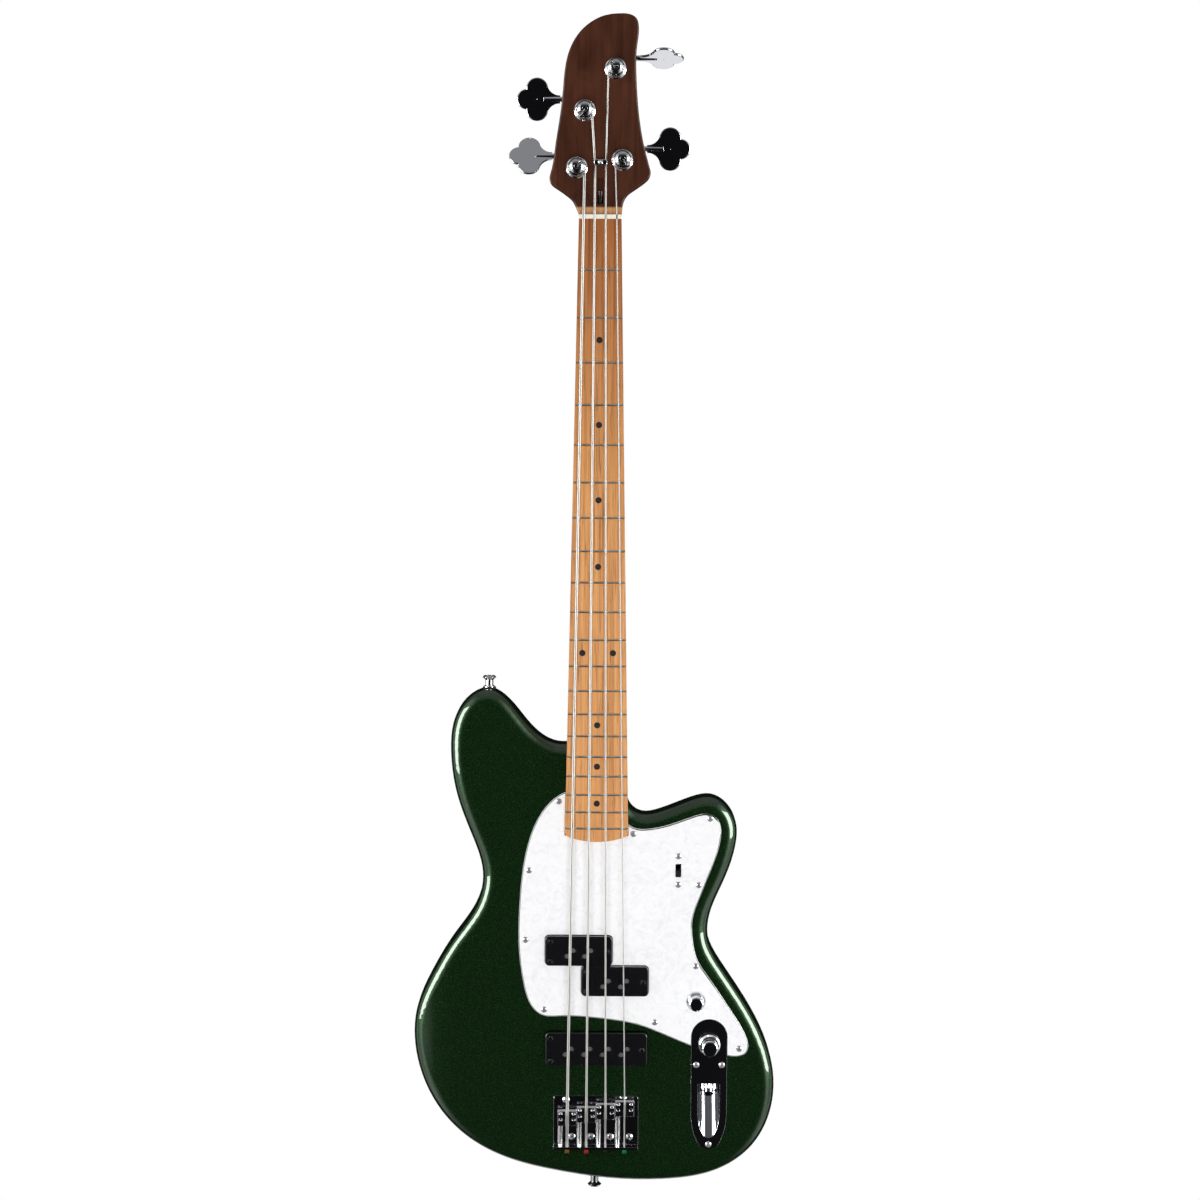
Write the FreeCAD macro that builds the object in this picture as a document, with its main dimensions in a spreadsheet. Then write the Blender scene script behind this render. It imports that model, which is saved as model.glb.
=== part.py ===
import FreeCAD, Part
import math
import os
import types

import Sketcher

# An electric bass guitar standing upright: +Z runs up the neck, the strings face -Y, +X is the treble
# side. The origin is the outer end of the tail strap button, on the centre line and at mid thickness.
# "Front distance" below means the distance from mid thickness towards the player's view, so y = -front.

# Driving dimensions in millimetres, angles in degrees
SIZES = {
    # Strings and scale
    "scale_length": 863.6,
    "scale_end": 94.8,
    "string_diameter_e": 2.67,
    "string_diameter_a": 2.16,
    "string_diameter_d": 1.65,
    "string_diameter_g": 1.14,
    "string_spacing_nut": 10.6,
    "string_spacing_bridge": 18.9,
    "bridge_shift": 1.0,
    "nut_action": 0.5,
    "saddle_action": 5.0,
    "string_gap": 0.12,
    # Body
    "body_width": 357.4,
    "body_length": 490.7,
    "body_bottom": 10.3,
    "body_thickness": 45.0,
    "body_edge_radius": 12.0,
    "forearm_radius": 117.0,
    "forearm_reach": 60.0,
    "cut_overrun": 3.0,
    # Neck and headstock
    "nut_width": 41.0,
    "last_fret_width": 61.8,
    "board_overhang": 7.4,
    "board_end_bulge": 5.9,
    "board_corner": 5.0,
    "neck_stand_off": 2.5,
    "neck_pocket_depth": 16.0,
    "neck_gap": 0.4,
    "heel_reach": 6.0,
    "shaft_depth_nut": 15.0,
    "shaft_depth_heel": 16.5,
    "head_width": 97.4,
    "head_length": 196.3,
    "headstock_drop": 3.5,
    "headstock_thickness": 14.0,
    "headstock_edge": 1.8,
    "scoop_start": 8.0,
    "scoop_end": 24.0,
    "scoop_root": 4.0,
    "scoop_overlap": 12.0,
    # Fretboard
    "fretboard_thickness": 6.0,
    "fretboard_radius": 305.0,
    "fret_height": 1.2,
    "fret_width": 2.4,
    "fret_inset": 0.4,
    "tang_width": 0.5,
    "tang_depth": 2.0,
    "tang_gap": 0.06,
    "slot_floor_gap": 0.25,
    "seat_gap": 0.02,
    "dot_radius": 3.0,
    "dot_depth": 1.6,
    "dot_spread": 14.9,
    "nut_thickness": 4.0,
    "nut_height": 9.4,
    # Truss rod
    "rod_radius": 2.6,
    "rod_gap": 0.3,
    "rod_length": 560.0,
    "rod_depth": 6.0,
    "rod_socket_radius": 1.5,
    "rod_socket_depth": 6.0,
    "rod_window_start": 14.6,
    "rod_window_end": 39.6,
    # Neck plate
    "neck_plate_width": 44.0,
    "neck_plate_length": 56.0,
    "neck_plate_thickness": 2.0,
    "neck_plate_corner": 4.0,
    "neck_plate_shift": -5.0,
    "neck_plate_drop": 36.0,
    "neck_bolt_inset": 6.0,
    # Screws: head radius and height, shank radius and length
    "hole_gap": 0.12,
    "neck_bolt_head": 4.6,
    "neck_bolt_head_height": 2.4,
    "neck_bolt_shank": 2.4,
    "neck_bolt_length": 42.0,
    "plate_screw_head": 3.0,
    "plate_screw_head_height": 1.7,
    "plate_screw_shank": 1.4,
    "plate_screw_length": 14.0,
    "bridge_screw_head": 3.4,
    "bridge_screw_head_height": 2.0,
    "bridge_screw_shank": 1.9,
    "bridge_screw_length": 28.0,
    "pickup_screw_head": 2.2,
    "pickup_screw_head_height": 1.2,
    "pickup_screw_shank": 1.2,
    "pickup_screw_length": 31.0,
    "tuner_screw_head": 2.4,
    "tuner_screw_head_height": 1.3,
    "tuner_screw_shank": 1.1,
    "tuner_screw_length": 9.0,
    "retainer_screw_length": 18.0,
    "strap_screw_head": 3.6,
    "strap_screw_head_height": 1.8,
    "strap_screw_shank": 2.2,
    "strap_screw_length": 36.0,
    "intonation_screw_head": 2.7,
    "intonation_screw_head_height": 2.0,
    "intonation_screw_shank": 1.5,
    # Pickguard
    "guard_thickness": 2.3,
    "guard_bevel": 1.2,
    "guard_gap": 0.4,
    # Pickups
    "split_cover_length": 66.0,
    "split_cover_width": 29.6,
    "split_cover_pitch": 30.2,
    "split_cover_height": 229.5,
    "split_cover_spread": 35.8,
    "bar_cover_length": 100.3,
    "bar_cover_width": 33.0,
    "bar_cover_height": 146.3,
    "cover_rise": 5.4,
    "cover_depth": 15.0,
    "cover_wall": 1.5,
    "cover_top_wall": 2.6,
    "cover_corner": 4.0,
    "cover_edge": 1.0,
    "cover_gap": 0.6,
    "cover_screw_inset": 5.0,
    "rout_depth": 20.0,
    "pole_radius": 2.2,
    "pole_offset": 2.85,
    "pole_shift": 2.2,
    "pole_sink": 0.15,
    "coil_gap": 0.4,
    "coil_end_gap": 9.0,
    "coil_width": 14.0,
    # Control plate and jack
    "plate_x": 112.6,
    "plate_top": 175.8,
    "plate_width": 35.4,
    "plate_length": 130.8,
    "plate_thickness": 1.8,
    "scoop_radius": 10.9,
    "scoop_wall": 1.2,
    "scoop_gap": 0.4,
    "scoop_top": 111.1,
    "scoop_tip": 56.1,
    "scoop_angle": 24.0,
    "plate_screw_spread": 25.4,
    "plate_screw_height": 130.1,
    "plate_screw_low": 49.9,
    "jack_barrel_radius": 4.7,
    "jack_bore_radius": 3.275,
    "jack_reach": 6.5,
    "jack_nut_radius": 7.9,
    "jack_nut_rib": 0.4,
    "jack_nut_depth": 3.6,
    "jack_flange_radius": 8.0,
    "jack_flange_thickness": 2.0,
    "jack_housing_radius": 7.0,
    "jack_housing_length": 20.0,
    "control_rout_width": 27.0,
    "control_rout_bottom": 96.0,
    "control_rout_depth": 34.0,
    "pot_rout_reach": 14.0,
    # Pots, nuts and knobs
    "nut_radius": 7.3,
    "nut_depth": 2.4,
    "pot_can_radius": 12.0,
    "pot_can_depth": 10.0,
    "pot_bushing_radius": 4.7,
    "pot_bushing_reach": 3.8,
    "shaft_radius": 3.0,
    "outer_shaft_radius": 4.0,
    "running_gap": 0.06,
    "volume_x": 99.0,
    "volume_height": 194.0,
    "stacked_height": 151.4,
    "knob_gap": 0.5,
    "knob_recess_radius": 7.7,
    "knob_recess_depth": 4.2,
    "knob_round": 2.3,
    "volume_knob_skirt": 9.3,
    "volume_knob_radius": 7.4,
    "volume_knob_height": 14.4,
    "ring_knob_radius": 10.7,
    "ring_knob_height": 8.6,
    "top_knob_radius": 8.2,
    "top_knob_height": 13.0,
    # Slide switch
    "switch_x": 80.6,
    "switch_height": 324.6,
    "switch_screw_reach": 14.15,
    "switch_slot_width": 5.7,
    "switch_slot_length": 12.9,
    "switch_width": 9.2,
    "switch_length": 22.0,
    "switch_depth": 9.0,
    "switch_flange_reach": 17.6,
    "switch_flange_thickness": 1.2,
    "switch_wall": 0.9,
    "switch_roof": 2.2,
    "lever_width": 5.0,
    "lever_length": 6.2,
    "lever_rise": 1.6,
    "lever_foot_margin": 1.0,
    "lever_foot_depth": 2.0,
    "lever_gap": 0.3,
    # Bridge
    "bridge_width": 83.8,
    "bridge_top": 98.4,
    "bridge_bottom": 47.0,
    "bridge_thickness": 2.4,
    "bridge_corner": 3.0,
    "lip_thickness": 2.4,
    "lip_height": 13.0,
    "lip_hole_level": 6.0,
    "lip_hole_gap": 0.9,
    "bridge_screw_shift": 4.8,
    "bridge_screw_height": 57.3,
    "bridge_front_screw_shift": -1.2,
    "bridge_front_screw_height": 94.4,
    "intonation_shift": 6.9,
    "intonation_level": 7.0,
    "intonation_engage": 6.3,
    "saddle_width": 18.6,
    "saddle_length": 17.6,
    "saddle_lift": 3.0,
    "saddle_side_rise": 0.6,
    "saddle_front_drop": 2.0,
    "saddle_rear_drop": 5.0,
    "saddle_front_land": 7.2,
    "saddle_break": 4.0,
    "saddle_clearance": 0.15,
    "saddle_thread_depth": 11.4,
    "saddle_recess_radius": 1.7,
    "saddle_recess_back": 1.3,
    "saddle_recess_depth": 3.7,
    "saddle_setback_e": 16.4,
    "saddle_setback_a": 12.4,
    "saddle_setback_d": 9.2,
    "saddle_setback_g": 6.7,
    "height_screw_radius": 1.5,
    "height_screw_spread": 6.4,
    "height_screw_forward": 5.4,
    "spring_radius": 2.2,
    "spring_wire": 0.6,
    "spring_pitch": 1.9,
    "spring_end_gap": 0.3,
    "ball_radius": 3.0,
    "ball_width": 4.2,
    "ball_bore": 1.2,
    "ball_gap": 0.25,
    # Tuners
    "bushing_flange": 10.3,
    "bushing_flange_height": 2.2,
    "bushing_sleeve": 6.9,
    "post_journal": 5.0,
    "post_shoulder": 0.3,
    "post_barrel": 6.0,
    "post_barrel_height": 10.0,
    "post_rim": 8.7,
    "post_rim_height": 1.5,
    "post_cap": 7.25,
    "post_cap_height": 4.5,
    "post_slot_width": 3.2,
    "post_hole_radius": 2.35,
    "post_stub": 3.5,
    "base_thickness": 1.6,
    "base_width": 30.0,
    "base_below": 11.0,
    "base_above": 19.2,
    "base_corner": 3.0,
    "base_screw_inset": 3.2,
    "ear_inside": 7.2,
    "ear_thickness": 1.6,
    "ear_height": 8.0,
    "ear_reach": 3.4,
    "worm_level": 4.9,
    "gear_radius": 9.0,
    "gear_tooth": 0.65,
    "gear_root": 0.9,
    "gear_thickness": 5.0,
    "worm_radius": 3.6,
    "worm_core": 2.7,
    "worm_journal": 2.0,
    "worm_end_gap": 0.4,
    "worm_stub": 1.6,
    "key_root": 24.0,
    "key_shaft_radius": 2.5,
    "key_neck_radius": 2.6,
    "key_boss_end": 40.0,
    "key_boss_radius": 2.2,
    "key_lobe_line": 46.4,
    "key_lobe_radius": 10.6,
    "key_lobe_spread": 10.2,
    "key_tip_radius": 9.8,
    "key_tip_reach": 9.8,
    "key_thickness": 2.6,
    "key_waist": 3.8,
    # String retainer
    "retainer_length": 13.2,
    "retainer_width": 6.0,
    "retainer_thickness": 2.6,
    "retainer_round": 1.2,
    "retainer_level": 6.1,
    "retainer_post": 2.7,
    "retainer_height": 53.9,
    "retainer_string_spread": 5.2,
    # Strap buttons
    "strap_button_radius": 6.8,
    "strap_button_waist": 3.9,
    "strap_button_height": 11.4,
    "strap_washer_radius": 6.6,
    "strap_washer_thickness": 1.8,
    "strap_hole_radius": 2.4,
    "strap_sink": 2.2,
    "horn_spot_depth": 0.6,
    # String windings
    "winding_gap": 0.5,
    "winding_top_gap": 0.35,
    "saddle_bend": 4.0,
    "nut_bend": 8.0,
    "retainer_bend": 5.0,
}

FRET_COUNT = 20
MARKED_FRETS = [3, 5, 7, 9, 15, 17, 19]
DOUBLE_MARKED_FRET = 12
STRINGS = ["e", "a", "d", "g"]
MIDDLE_STRING = (len(STRINGS) - 1) / 2
GEAR_TEETH = 20
WINDING_TURNS = {"e": 2.0, "a": 2.5, "d": 3.0, "g": 3.5}
KEY_TURN = {"e": 28.0, "a": 0.0, "d": 70.0, "g": 6.0}
# Side of the headstock that each key is on
KEY_SIDE = {"e": -1, "a": -1, "d": 1, "g": 1}

# Shares of the body's width, and of its length counted from its lowest point
BODY_OUTLINE_SHARES = [
    (-0.083, 0.891), (-0.132, 0.897), (-0.193, 0.934), (-0.244, 0.978), (-0.298, 1.000), (-0.356, 0.982),
    (-0.394, 0.936), (-0.402, 0.876), (-0.386, 0.791), (-0.344, 0.706), (-0.313, 0.623), (-0.335, 0.559),
    (-0.393, 0.497), (-0.454, 0.423), (-0.496, 0.349), (-0.500, 0.268), (-0.449, 0.164), (-0.362, 0.091),
    (-0.239, 0.042), (-0.110, 0.018), (0.044, 0.002), (0.198, 0.001), (0.332, 0.019), (0.434, 0.069),
    (0.487, 0.142), (0.494, 0.229), (0.447, 0.328), (0.351, 0.439), (0.310, 0.501), (0.313, 0.544),
    (0.349, 0.611), (0.383, 0.685), (0.380, 0.744), (0.318, 0.785), (0.258, 0.778), (0.175, 0.755),
    (0.120, 0.751), (0.092, 0.767), (0.081, 0.796), (0.080, 0.829), (0.080, 0.856), (0.066, 0.881),
    (0.032, 0.891), (-0.022, 0.891),
]
HORN_BUTTON_SHARE = -0.298
FOREARM_LINE_SHARE = -0.383
WAIST_SHARE = 0.623
GUARD_LEFT_SHARES = [
    (-0.084, 0.798), (-0.120, 0.782), (-0.155, 0.751), (-0.185, 0.700), (-0.204, 0.631), (-0.212, 0.554),
    (-0.212, 0.477), (-0.198, 0.405), (-0.170, 0.356), (-0.150, 0.345), (-0.098, 0.342), (0.013, 0.338),
    (0.124, 0.324), (0.179, 0.309), (0.265, 0.283),
]
GUARD_RIGHT_SHARES = [
    (0.367, 0.263), (0.395, 0.262), (0.415, 0.268), (0.423, 0.281), (0.419, 0.298), (0.375, 0.355),
    (0.307, 0.428), (0.282, 0.456), (0.271, 0.481), (0.265, 0.512), (0.265, 0.536), (0.273, 0.562),
    (0.286, 0.587), (0.305, 0.623), (0.337, 0.688), (0.342, 0.711), (0.341, 0.729), (0.331, 0.745),
    (0.314, 0.753), (0.295, 0.755), (0.262, 0.749), (0.175, 0.728), (0.142, 0.724), (0.114, 0.724),
    (0.088, 0.733),
]
GUARD_SCREW_SHARES = [
    (-0.104, 0.779), (-0.185, 0.639), (-0.194, 0.498), (-0.142, 0.356), (0.164, 0.331), (0.398, 0.278),
    (0.276, 0.446), (0.282, 0.611), (0.312, 0.746), (0.101, 0.714),
]
# Shares of the headstock's width, and of its length counted from the nut
HEAD_OUTLINE_SHARES = [
    (-0.210, 0.000), (-0.216, 0.029), (-0.240, 0.058), (-0.270, 0.087), (-0.330, 0.115), (-0.429, 0.149),
    (-0.487, 0.172), (-0.504, 0.200), (-0.490, 0.232), (-0.451, 0.348), (-0.398, 0.522), (-0.374, 0.640),
    (-0.332, 0.792), (-0.229, 0.898), (-0.102, 0.957), (0.027, 0.988), (0.184, 0.999), (0.282, 0.995),
    (0.343, 0.977), (0.367, 0.945), (0.353, 0.843), (0.348, 0.698), (0.373, 0.524), (0.420, 0.379),
    (0.486, 0.254), (0.496, 0.224), (0.476, 0.199), (0.432, 0.178), (0.344, 0.147), (0.265, 0.117),
    (0.231, 0.088), (0.216, 0.044), (0.210, 0.000),
]
POST_SHARES = {"e": (-0.234, 0.251), "a": (-0.158, 0.528), "d": (0.142, 0.731), "g": (0.215, 0.289)}
# Shares of the control plate's width, and of its length counted from its lower tip
PLATE_TAPER_SHARES = [(0.500, 0.258), (0.440, 0.145), (0.316, 0.055)]


class Length:
    """A size together with the sheet expression that gives it, so that sums of sizes stay bound."""

    def __init__(self, value, text):
        self.value = value
        self.text = text

    def __float__(self):
        return self.value

    def __add__(self, other):
        other = length(other)
        return Length(self.value + other.value, f"({self.text} + {other.text})")

    def __sub__(self, other):
        other = length(other)
        return Length(self.value - other.value, f"({self.text} - {other.text})")

    def __rsub__(self, other):
        return length(other) - self

    def __mul__(self, other):
        other = length(other)
        return Length(self.value * other.value, f"({self.text} * {other.text})")

    def __truediv__(self, other):
        other = length(other)
        return Length(self.value / other.value, f"({self.text} / {other.text})")

    def __neg__(self):
        return Length(-self.value, f"(0 - {self.text})")

    __radd__ = __add__
    __rmul__ = __mul__


def length(number):
    """A plain number, such as a share, as a Length."""
    if isinstance(number, Length):
        return number
    return Length(float(number), f"{float(number):.6f}")


doc = FreeCAD.newDocument("bass_guitar")
sheet = doc.addObject("Spreadsheet::Sheet", "Sizes")
for row, (name, value) in enumerate(SIZES.items(), 1):
    sheet.set(f"A{row}", name)
    sheet.set(f"B{row}", str(value))
    sheet.setAlias(f"B{row}", name)
doc.recompute()
size = types.SimpleNamespace(**{name: Length(float(sheet.get(name)), f"Sizes.{name}") for name in SIZES})

pieces = []
# Lengths below this count as zero
CLOSE = 0.01
FRONT = "XZ_Plane"
SIDE = "YZ_Plane"
LEVEL = "XY_Plane"
UP = FreeCAD.Vector(0, 0, 1)
ACROSS = FreeCAD.Vector(1, 0, 0)
FORWARD = FreeCAD.Vector(0, -1, 0)
TO_FRONT = FreeCAD.Rotation(UP, FORWARD)
TO_BACK = FreeCAD.Rotation(UP, -FORWARD)
TO_TOP = FreeCAD.Rotation()
TO_TAIL = FreeCAD.Rotation(ACROSS, 180)


# Small tools for sketches, features and placing
def vec(x, y, z=0):
    return FreeCAD.Vector(float(x), float(y), float(z))


def spot(x, front, height):
    """A point given by its place across, its front distance and its height up the neck."""
    return vec(x, -float(front), height)


def bind(target, path, amount):
    target.setExpression(path, length(amount).text)


def keep(target, label):
    target.Label = label
    pieces.append(target)
    return target


def new_body(label):
    body = doc.addObject("PartDesign::Body", label)
    body.Label = label
    return body


def sketch_on(body, plane, offset):
    sketch = body.newObject("Sketcher::SketchObject", "sketch")
    support = next(f for f in body.Origin.OriginFeatures if f.Role == plane)
    sketch.AttachmentSupport = [(support, "")]
    sketch.MapMode = "FlatFace"
    bind(sketch, "AttachmentOffset.Base.z", offset)
    return sketch


def polygon(sketch, corners):
    """A closed straight-sided outline whose corners are bound to the sheet."""
    points = [vec(x, y) for x, y in corners]
    first = sketch.GeometryCount
    count = len(points)
    for n in range(count):
        sketch.addGeometry(Part.LineSegment(points[n], points[(n + 1) % count]), False)
    for n in range(count):
        sketch.addConstraint(Sketcher.Constraint("Coincident", first + n, 2, first + (n + 1) % count, 1))
        for kind, amount in zip(("DistanceX", "DistanceY"), corners[n]):
            index = sketch.addConstraint(
                Sketcher.Constraint(kind, -1, 1, first + n, 1, float(amount)))
            bind(sketch, f"Constraints[{index}]", amount)


def rectangle(sketch, left, right, low, high):
    polygon(sketch, [(left, low), (right, low), (right, high), (left, high)])


def rounded_window(sketch, x, z, across, along, corner):
    """A rectangle with round corners about (x, z), from its half width and half height."""
    arcs = []
    for n, (i, k) in enumerate(((1, 1), (-1, 1), (-1, -1), (1, -1))):
        centre = vec(x + i * (across - corner), z + k * (along - corner))
        arcs.append(Part.ArcOfCircle(
            Part.Circle(centre, UP, float(corner)), n * math.pi / 2, (n + 1) * math.pi / 2))
    sides = [Part.LineSegment(a.EndPoint, b.StartPoint) for a, b in zip(arcs, arcs[1:] + arcs[:1])]
    sketch.addGeometry(arcs + sides, False)


def disc(sketch, x, y, radius):
    number = sketch.GeometryCount
    sketch.addGeometry(Part.Circle(vec(x, y), UP, float(radius)), False)
    index = sketch.addConstraint(Sketcher.Constraint("Radius", number, float(radius)))
    bind(sketch, f"Constraints[{index}]", radius)
    for kind, amount in (("DistanceX", x), ("DistanceY", y)):
        index = sketch.addConstraint(Sketcher.Constraint(kind, -1, 1, number, 3, float(amount)))
        bind(sketch, f"Constraints[{index}]", amount)


def chain(points):
    """Straight lines from point to point."""
    return [Part.LineSegment(a, b) for a, b in zip(points, points[1:])]


def spline(points, closed=False):
    curve = Part.BSplineCurve()
    curve.interpolate(Points=points, PeriodicFlag=closed)
    return curve


def pad(body, sketch, depth, both=False):
    feature = body.newObject("PartDesign::Pad", "pad")
    feature.Profile = sketch
    feature.Midplane = both
    bind(feature, "Length", depth)
    sketch.Visibility = False
    doc.recompute()
    return feature


def pocket(body, sketch, depth, reverse=False, both=False):
    before = body.Shape.Volume
    faces_before = len(body.Shape.Faces)
    feature = body.newObject("PartDesign::Pocket", "pocket")
    feature.Profile = sketch
    feature.Reversed = reverse
    feature.Midplane = both
    bind(feature, "Length", depth)
    doc.recompute()
    if body.Shape.Volume >= before and len(body.Shape.Faces) <= faces_before:
        raise RuntimeError(f"{body.Label}: a cut removed nothing")
    return feature


def drill(body, places, radius, top, depth, reverse=False):
    """Round holes seen from the front, starting at the front distance top."""
    sketch = sketch_on(body, FRONT, top)
    for x, z in places:
        disc(sketch, x, z, radius)
    return pocket(body, sketch, depth, reverse)


def round_edges(body, radius, wanted):
    base = body.Tip
    names = [f"Edge{n}" for n, edge in enumerate(base.Shape.Edges, 1) if wanted(edge)]
    feature = body.newObject("PartDesign::Fillet", "round")
    feature.Base = (base, names)
    bind(feature, "Radius", radius)
    doc.recompute()
    return feature


def is_curved(edge):
    return edge.Curve.TypeId == "Part::GeomBSplineCurve"


def bevel_edges(body, amount, wanted):
    base = body.Tip
    names = [f"Edge{n}" for n, edge in enumerate(base.Shape.Edges, 1) if wanted(edge)]
    feature = body.newObject("PartDesign::Chamfer", "bevel")
    feature.Base = (base, names)
    bind(feature, "Size", amount)
    doc.recompute()
    return feature


def runs_front_to_back(edge):
    box = edge.BoundBox
    return box.YLength > box.XLength + box.ZLength


def lies_at(front):
    """A test for edges that lie flat at one front distance."""
    def test(edge):
        box = edge.BoundBox
        return abs(box.Center.y + float(front)) < CLOSE and box.YLength < CLOSE
    return test


def circles_at(height):
    """A test for the level edges of a turned piece at one height on its axis."""
    def test(edge):
        box = edge.BoundBox
        return abs(box.Center.z - float(height)) < CLOSE and box.ZLength < CLOSE
    return test


def turned(label, profile):
    """A round piece about its own Z axis from (radius, height) corners."""
    body = new_body(label)
    sketch = sketch_on(body, FRONT, 0)
    polygon(sketch, profile)
    feature = body.newObject("PartDesign::Revolution", "turn")
    feature.Profile = sketch
    feature.ReferenceAxis = (sketch, ["V_Axis"])
    feature.Angle = 360
    doc.recompute()
    return body


def place(target, x, front, z, rotation):
    target.Placement = FreeCAD.Placement(spot(x, front, z), rotation)
    bind(target, "Placement.Base.x", x)
    bind(target, "Placement.Base.y", -length(front))
    bind(target, "Placement.Base.z", z)


def group(label, members):
    """One node of separate solids: copies of master pieces, each at its own place and turn."""
    solids = []
    for master, point, rotation in members:
        solid = master.Shape.copy()
        solid.Placement = FreeCAD.Placement(point, rotation)
        solids.append(solid)
    feature = doc.addObject("Part::Feature", label)
    feature.Shape = Part.makeCompound(solids)
    return keep(feature, label)


def screw(label, head, head_height, shank, screw_length):
    """A domed cross-head screw with its head's seat at height zero and its point below."""
    crown_share, brim_share, point_share = 0.55, 0.35, 2.0
    arm_share, slot_share, slot_depth_share = 0.5, 0.13, 0.6
    body = turned(label, [
        (length(0), head_height), (crown_share * head, head_height), (head, brim_share * head_height),
        (head, length(0)), (shank, length(0)), (shank, point_share * shank - screw_length),
        (length(0), -screw_length)])
    arm, half = arm_share * head, slot_share * head
    sketch = sketch_on(body, LEVEL, head_height)
    polygon(sketch, [
        (-half, -arm), (half, -arm), (half, -half), (arm, -half), (arm, half), (half, half),
        (half, arm), (-half, arm), (-half, half), (-arm, half), (-arm, -half), (-half, -half)])
    pocket(body, sketch, slot_depth_share * head_height)
    return body


# Levels as front distances, and heights that several pieces share
level = types.SimpleNamespace()
level.body_front = size.body_thickness / 2
level.body_back = -size.body_thickness / 2
level.guard_front = level.body_front + size.guard_thickness
level.board_under = level.body_front + size.neck_stand_off
level.board_top = level.board_under + size.fretboard_thickness
level.fret_top = level.board_top + size.fret_height
level.pocket_floor = level.body_front - size.neck_pocket_depth
level.head_front = level.board_under - size.headstock_drop
level.head_back = level.head_front - size.headstock_thickness
level.plate_front = level.body_front + size.plate_thickness
level.cover_top = level.guard_front + size.cover_rise
level.cover_bottom = level.cover_top - size.cover_depth
level.bridge_front = level.body_front + size.bridge_thickness
level.rod = level.board_under - size.rod_depth
level.worm = level.head_back - size.base_thickness - size.worm_level

nut_height = size.scale_end + size.scale_length


def fret_height(number):
    return size.scale_end + 2 ** (-number / 12) * size.scale_length


last_fret_height = fret_height(FRET_COUNT)
neck_taper = (size.last_fret_width - size.nut_width) / 2 / (nut_height - last_fret_height)
neck_end = last_fret_height - size.board_overhang


def neck_half_width(height):
    return size.nut_width / 2 + neck_taper * (nut_height - height)


def body_x(share):
    return share * size.body_width


def body_z(share):
    return size.body_bottom + share * size.body_length


def body_place(shares):
    return body_x(shares[0]), body_z(shares[1])


tongue_top = body_z(BODY_OUTLINE_SHARES[0][1])
heel_top = tongue_top + size.heel_reach


def neck_end_curves(top, gap):
    """The neck's tapered plan from a height down to its bulged end, widened by a gap."""
    side_top = neck_half_width(top) + gap
    side_end = neck_half_width(neck_end) + gap
    end = neck_end - gap
    middle = end - size.board_end_bulge
    corners = [vec(-side_end, end), vec(-side_top, top), vec(side_top, top), vec(side_end, end)]
    bulge = Part.Arc(corners[3], vec(0, middle), corners[0])
    return chain(corners) + [bulge]


def is_board_corner(edge):
    """The two corners where the neck's sides meet its bulged end."""
    near = float(size.board_corner)
    return runs_front_to_back(edge) and abs(edge.CenterOfMass.z - float(neck_end)) < near


# Body
def control_axis_point(along):
    """A point on the jack's slanted axis, counted outwards from the scoop's end wall."""
    slant = math.radians(float(size.scoop_angle))
    wall_height = (size.scoop_top - size.scoop_tip) * math.sin(slant)
    depth = wall_height - size.scoop_radius
    front = level.plate_front - depth * math.cos(slant) + math.sin(slant) * along
    height = size.scoop_top - depth * math.sin(slant) - math.cos(slant) * along
    return front, height


def slanted_sketch(body, along):
    """A sketch square to the jack's slanted axis, with its middle on that axis."""
    front, height = control_axis_point(along)
    sketch = sketch_on(body, FRONT, front)
    turn = FreeCAD.Rotation(ACROSS, 90 - float(size.scoop_angle))
    sketch.AttachmentOffset = FreeCAD.Placement(vec(size.plate_x, height, front), turn)
    bind(sketch, "AttachmentOffset.Base.x", size.plate_x)
    bind(sketch, "AttachmentOffset.Base.y", height)
    bind(sketch, "AttachmentOffset.Base.z", front)
    return sketch


def scoop_sketch(body, along, widening):
    """The U-shaped section of the scoop, square to the jack's slanted axis."""
    sketch = slanted_sketch(body, along)
    radius = float(size.scoop_radius + widening)
    reach = float(size.scoop_top - size.scoop_tip)
    corners = [vec(-radius, 0), vec(-radius, reach), vec(radius, reach), vec(radius, 0)]
    sketch.addGeometry(chain(corners) + [Part.Arc(corners[3], vec(0, -radius), corners[0])], False)
    return sketch


def string_x_at_nut(n):
    return (n - MIDDLE_STRING) * size.string_spacing_nut


def string_x_at_bridge(n):
    return size.bridge_shift + (n - MIDDLE_STRING) * size.string_spacing_bridge


def string_x(n, height):
    """A string's place across at a height between the scale's end and the nut."""
    rise = (height - size.scale_end) / size.scale_length
    return string_x_at_bridge(n) + (string_x_at_nut(n) - string_x_at_bridge(n)) * rise


def cover_places():
    """Centre, length and width of each pickup cover, and the strings that it serves."""
    half_pitch = size.split_cover_pitch / 2
    half_spread = size.split_cover_spread / 2
    return {
        "split_pickup_cover_bass": (
            size.bridge_shift - half_spread, size.split_cover_height + half_pitch,
            size.split_cover_length, size.split_cover_width, (0, 1)),
        "split_pickup_cover_treble": (
            size.bridge_shift + half_spread, size.split_cover_height - half_pitch,
            size.split_cover_length, size.split_cover_width, (2, 3)),
        "bar_pickup_cover": (
            size.bridge_shift, size.bar_cover_height,
            size.bar_cover_length, size.bar_cover_width, (0, 1, 2, 3)),
    }


def cover_window(sketch, x, z, cover_length, cover_width):
    """The opening for a pickup cover, with the same gap all round."""
    rounded_window(sketch, x, z, cover_length / 2 + size.cover_gap, cover_width / 2 + size.cover_gap,
                   size.cover_corner + size.cover_gap)


def cover_screw_places(x, z, cover_length, cover_width):
    """Two screws at a cover's bass end and one at its treble end."""
    reach = cover_length / 2 - size.cover_screw_inset
    rise = cover_width / 2 - size.cover_screw_inset
    return [(x - reach, z + rise), (x - reach, z - rise), (x + reach, z)]


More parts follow.
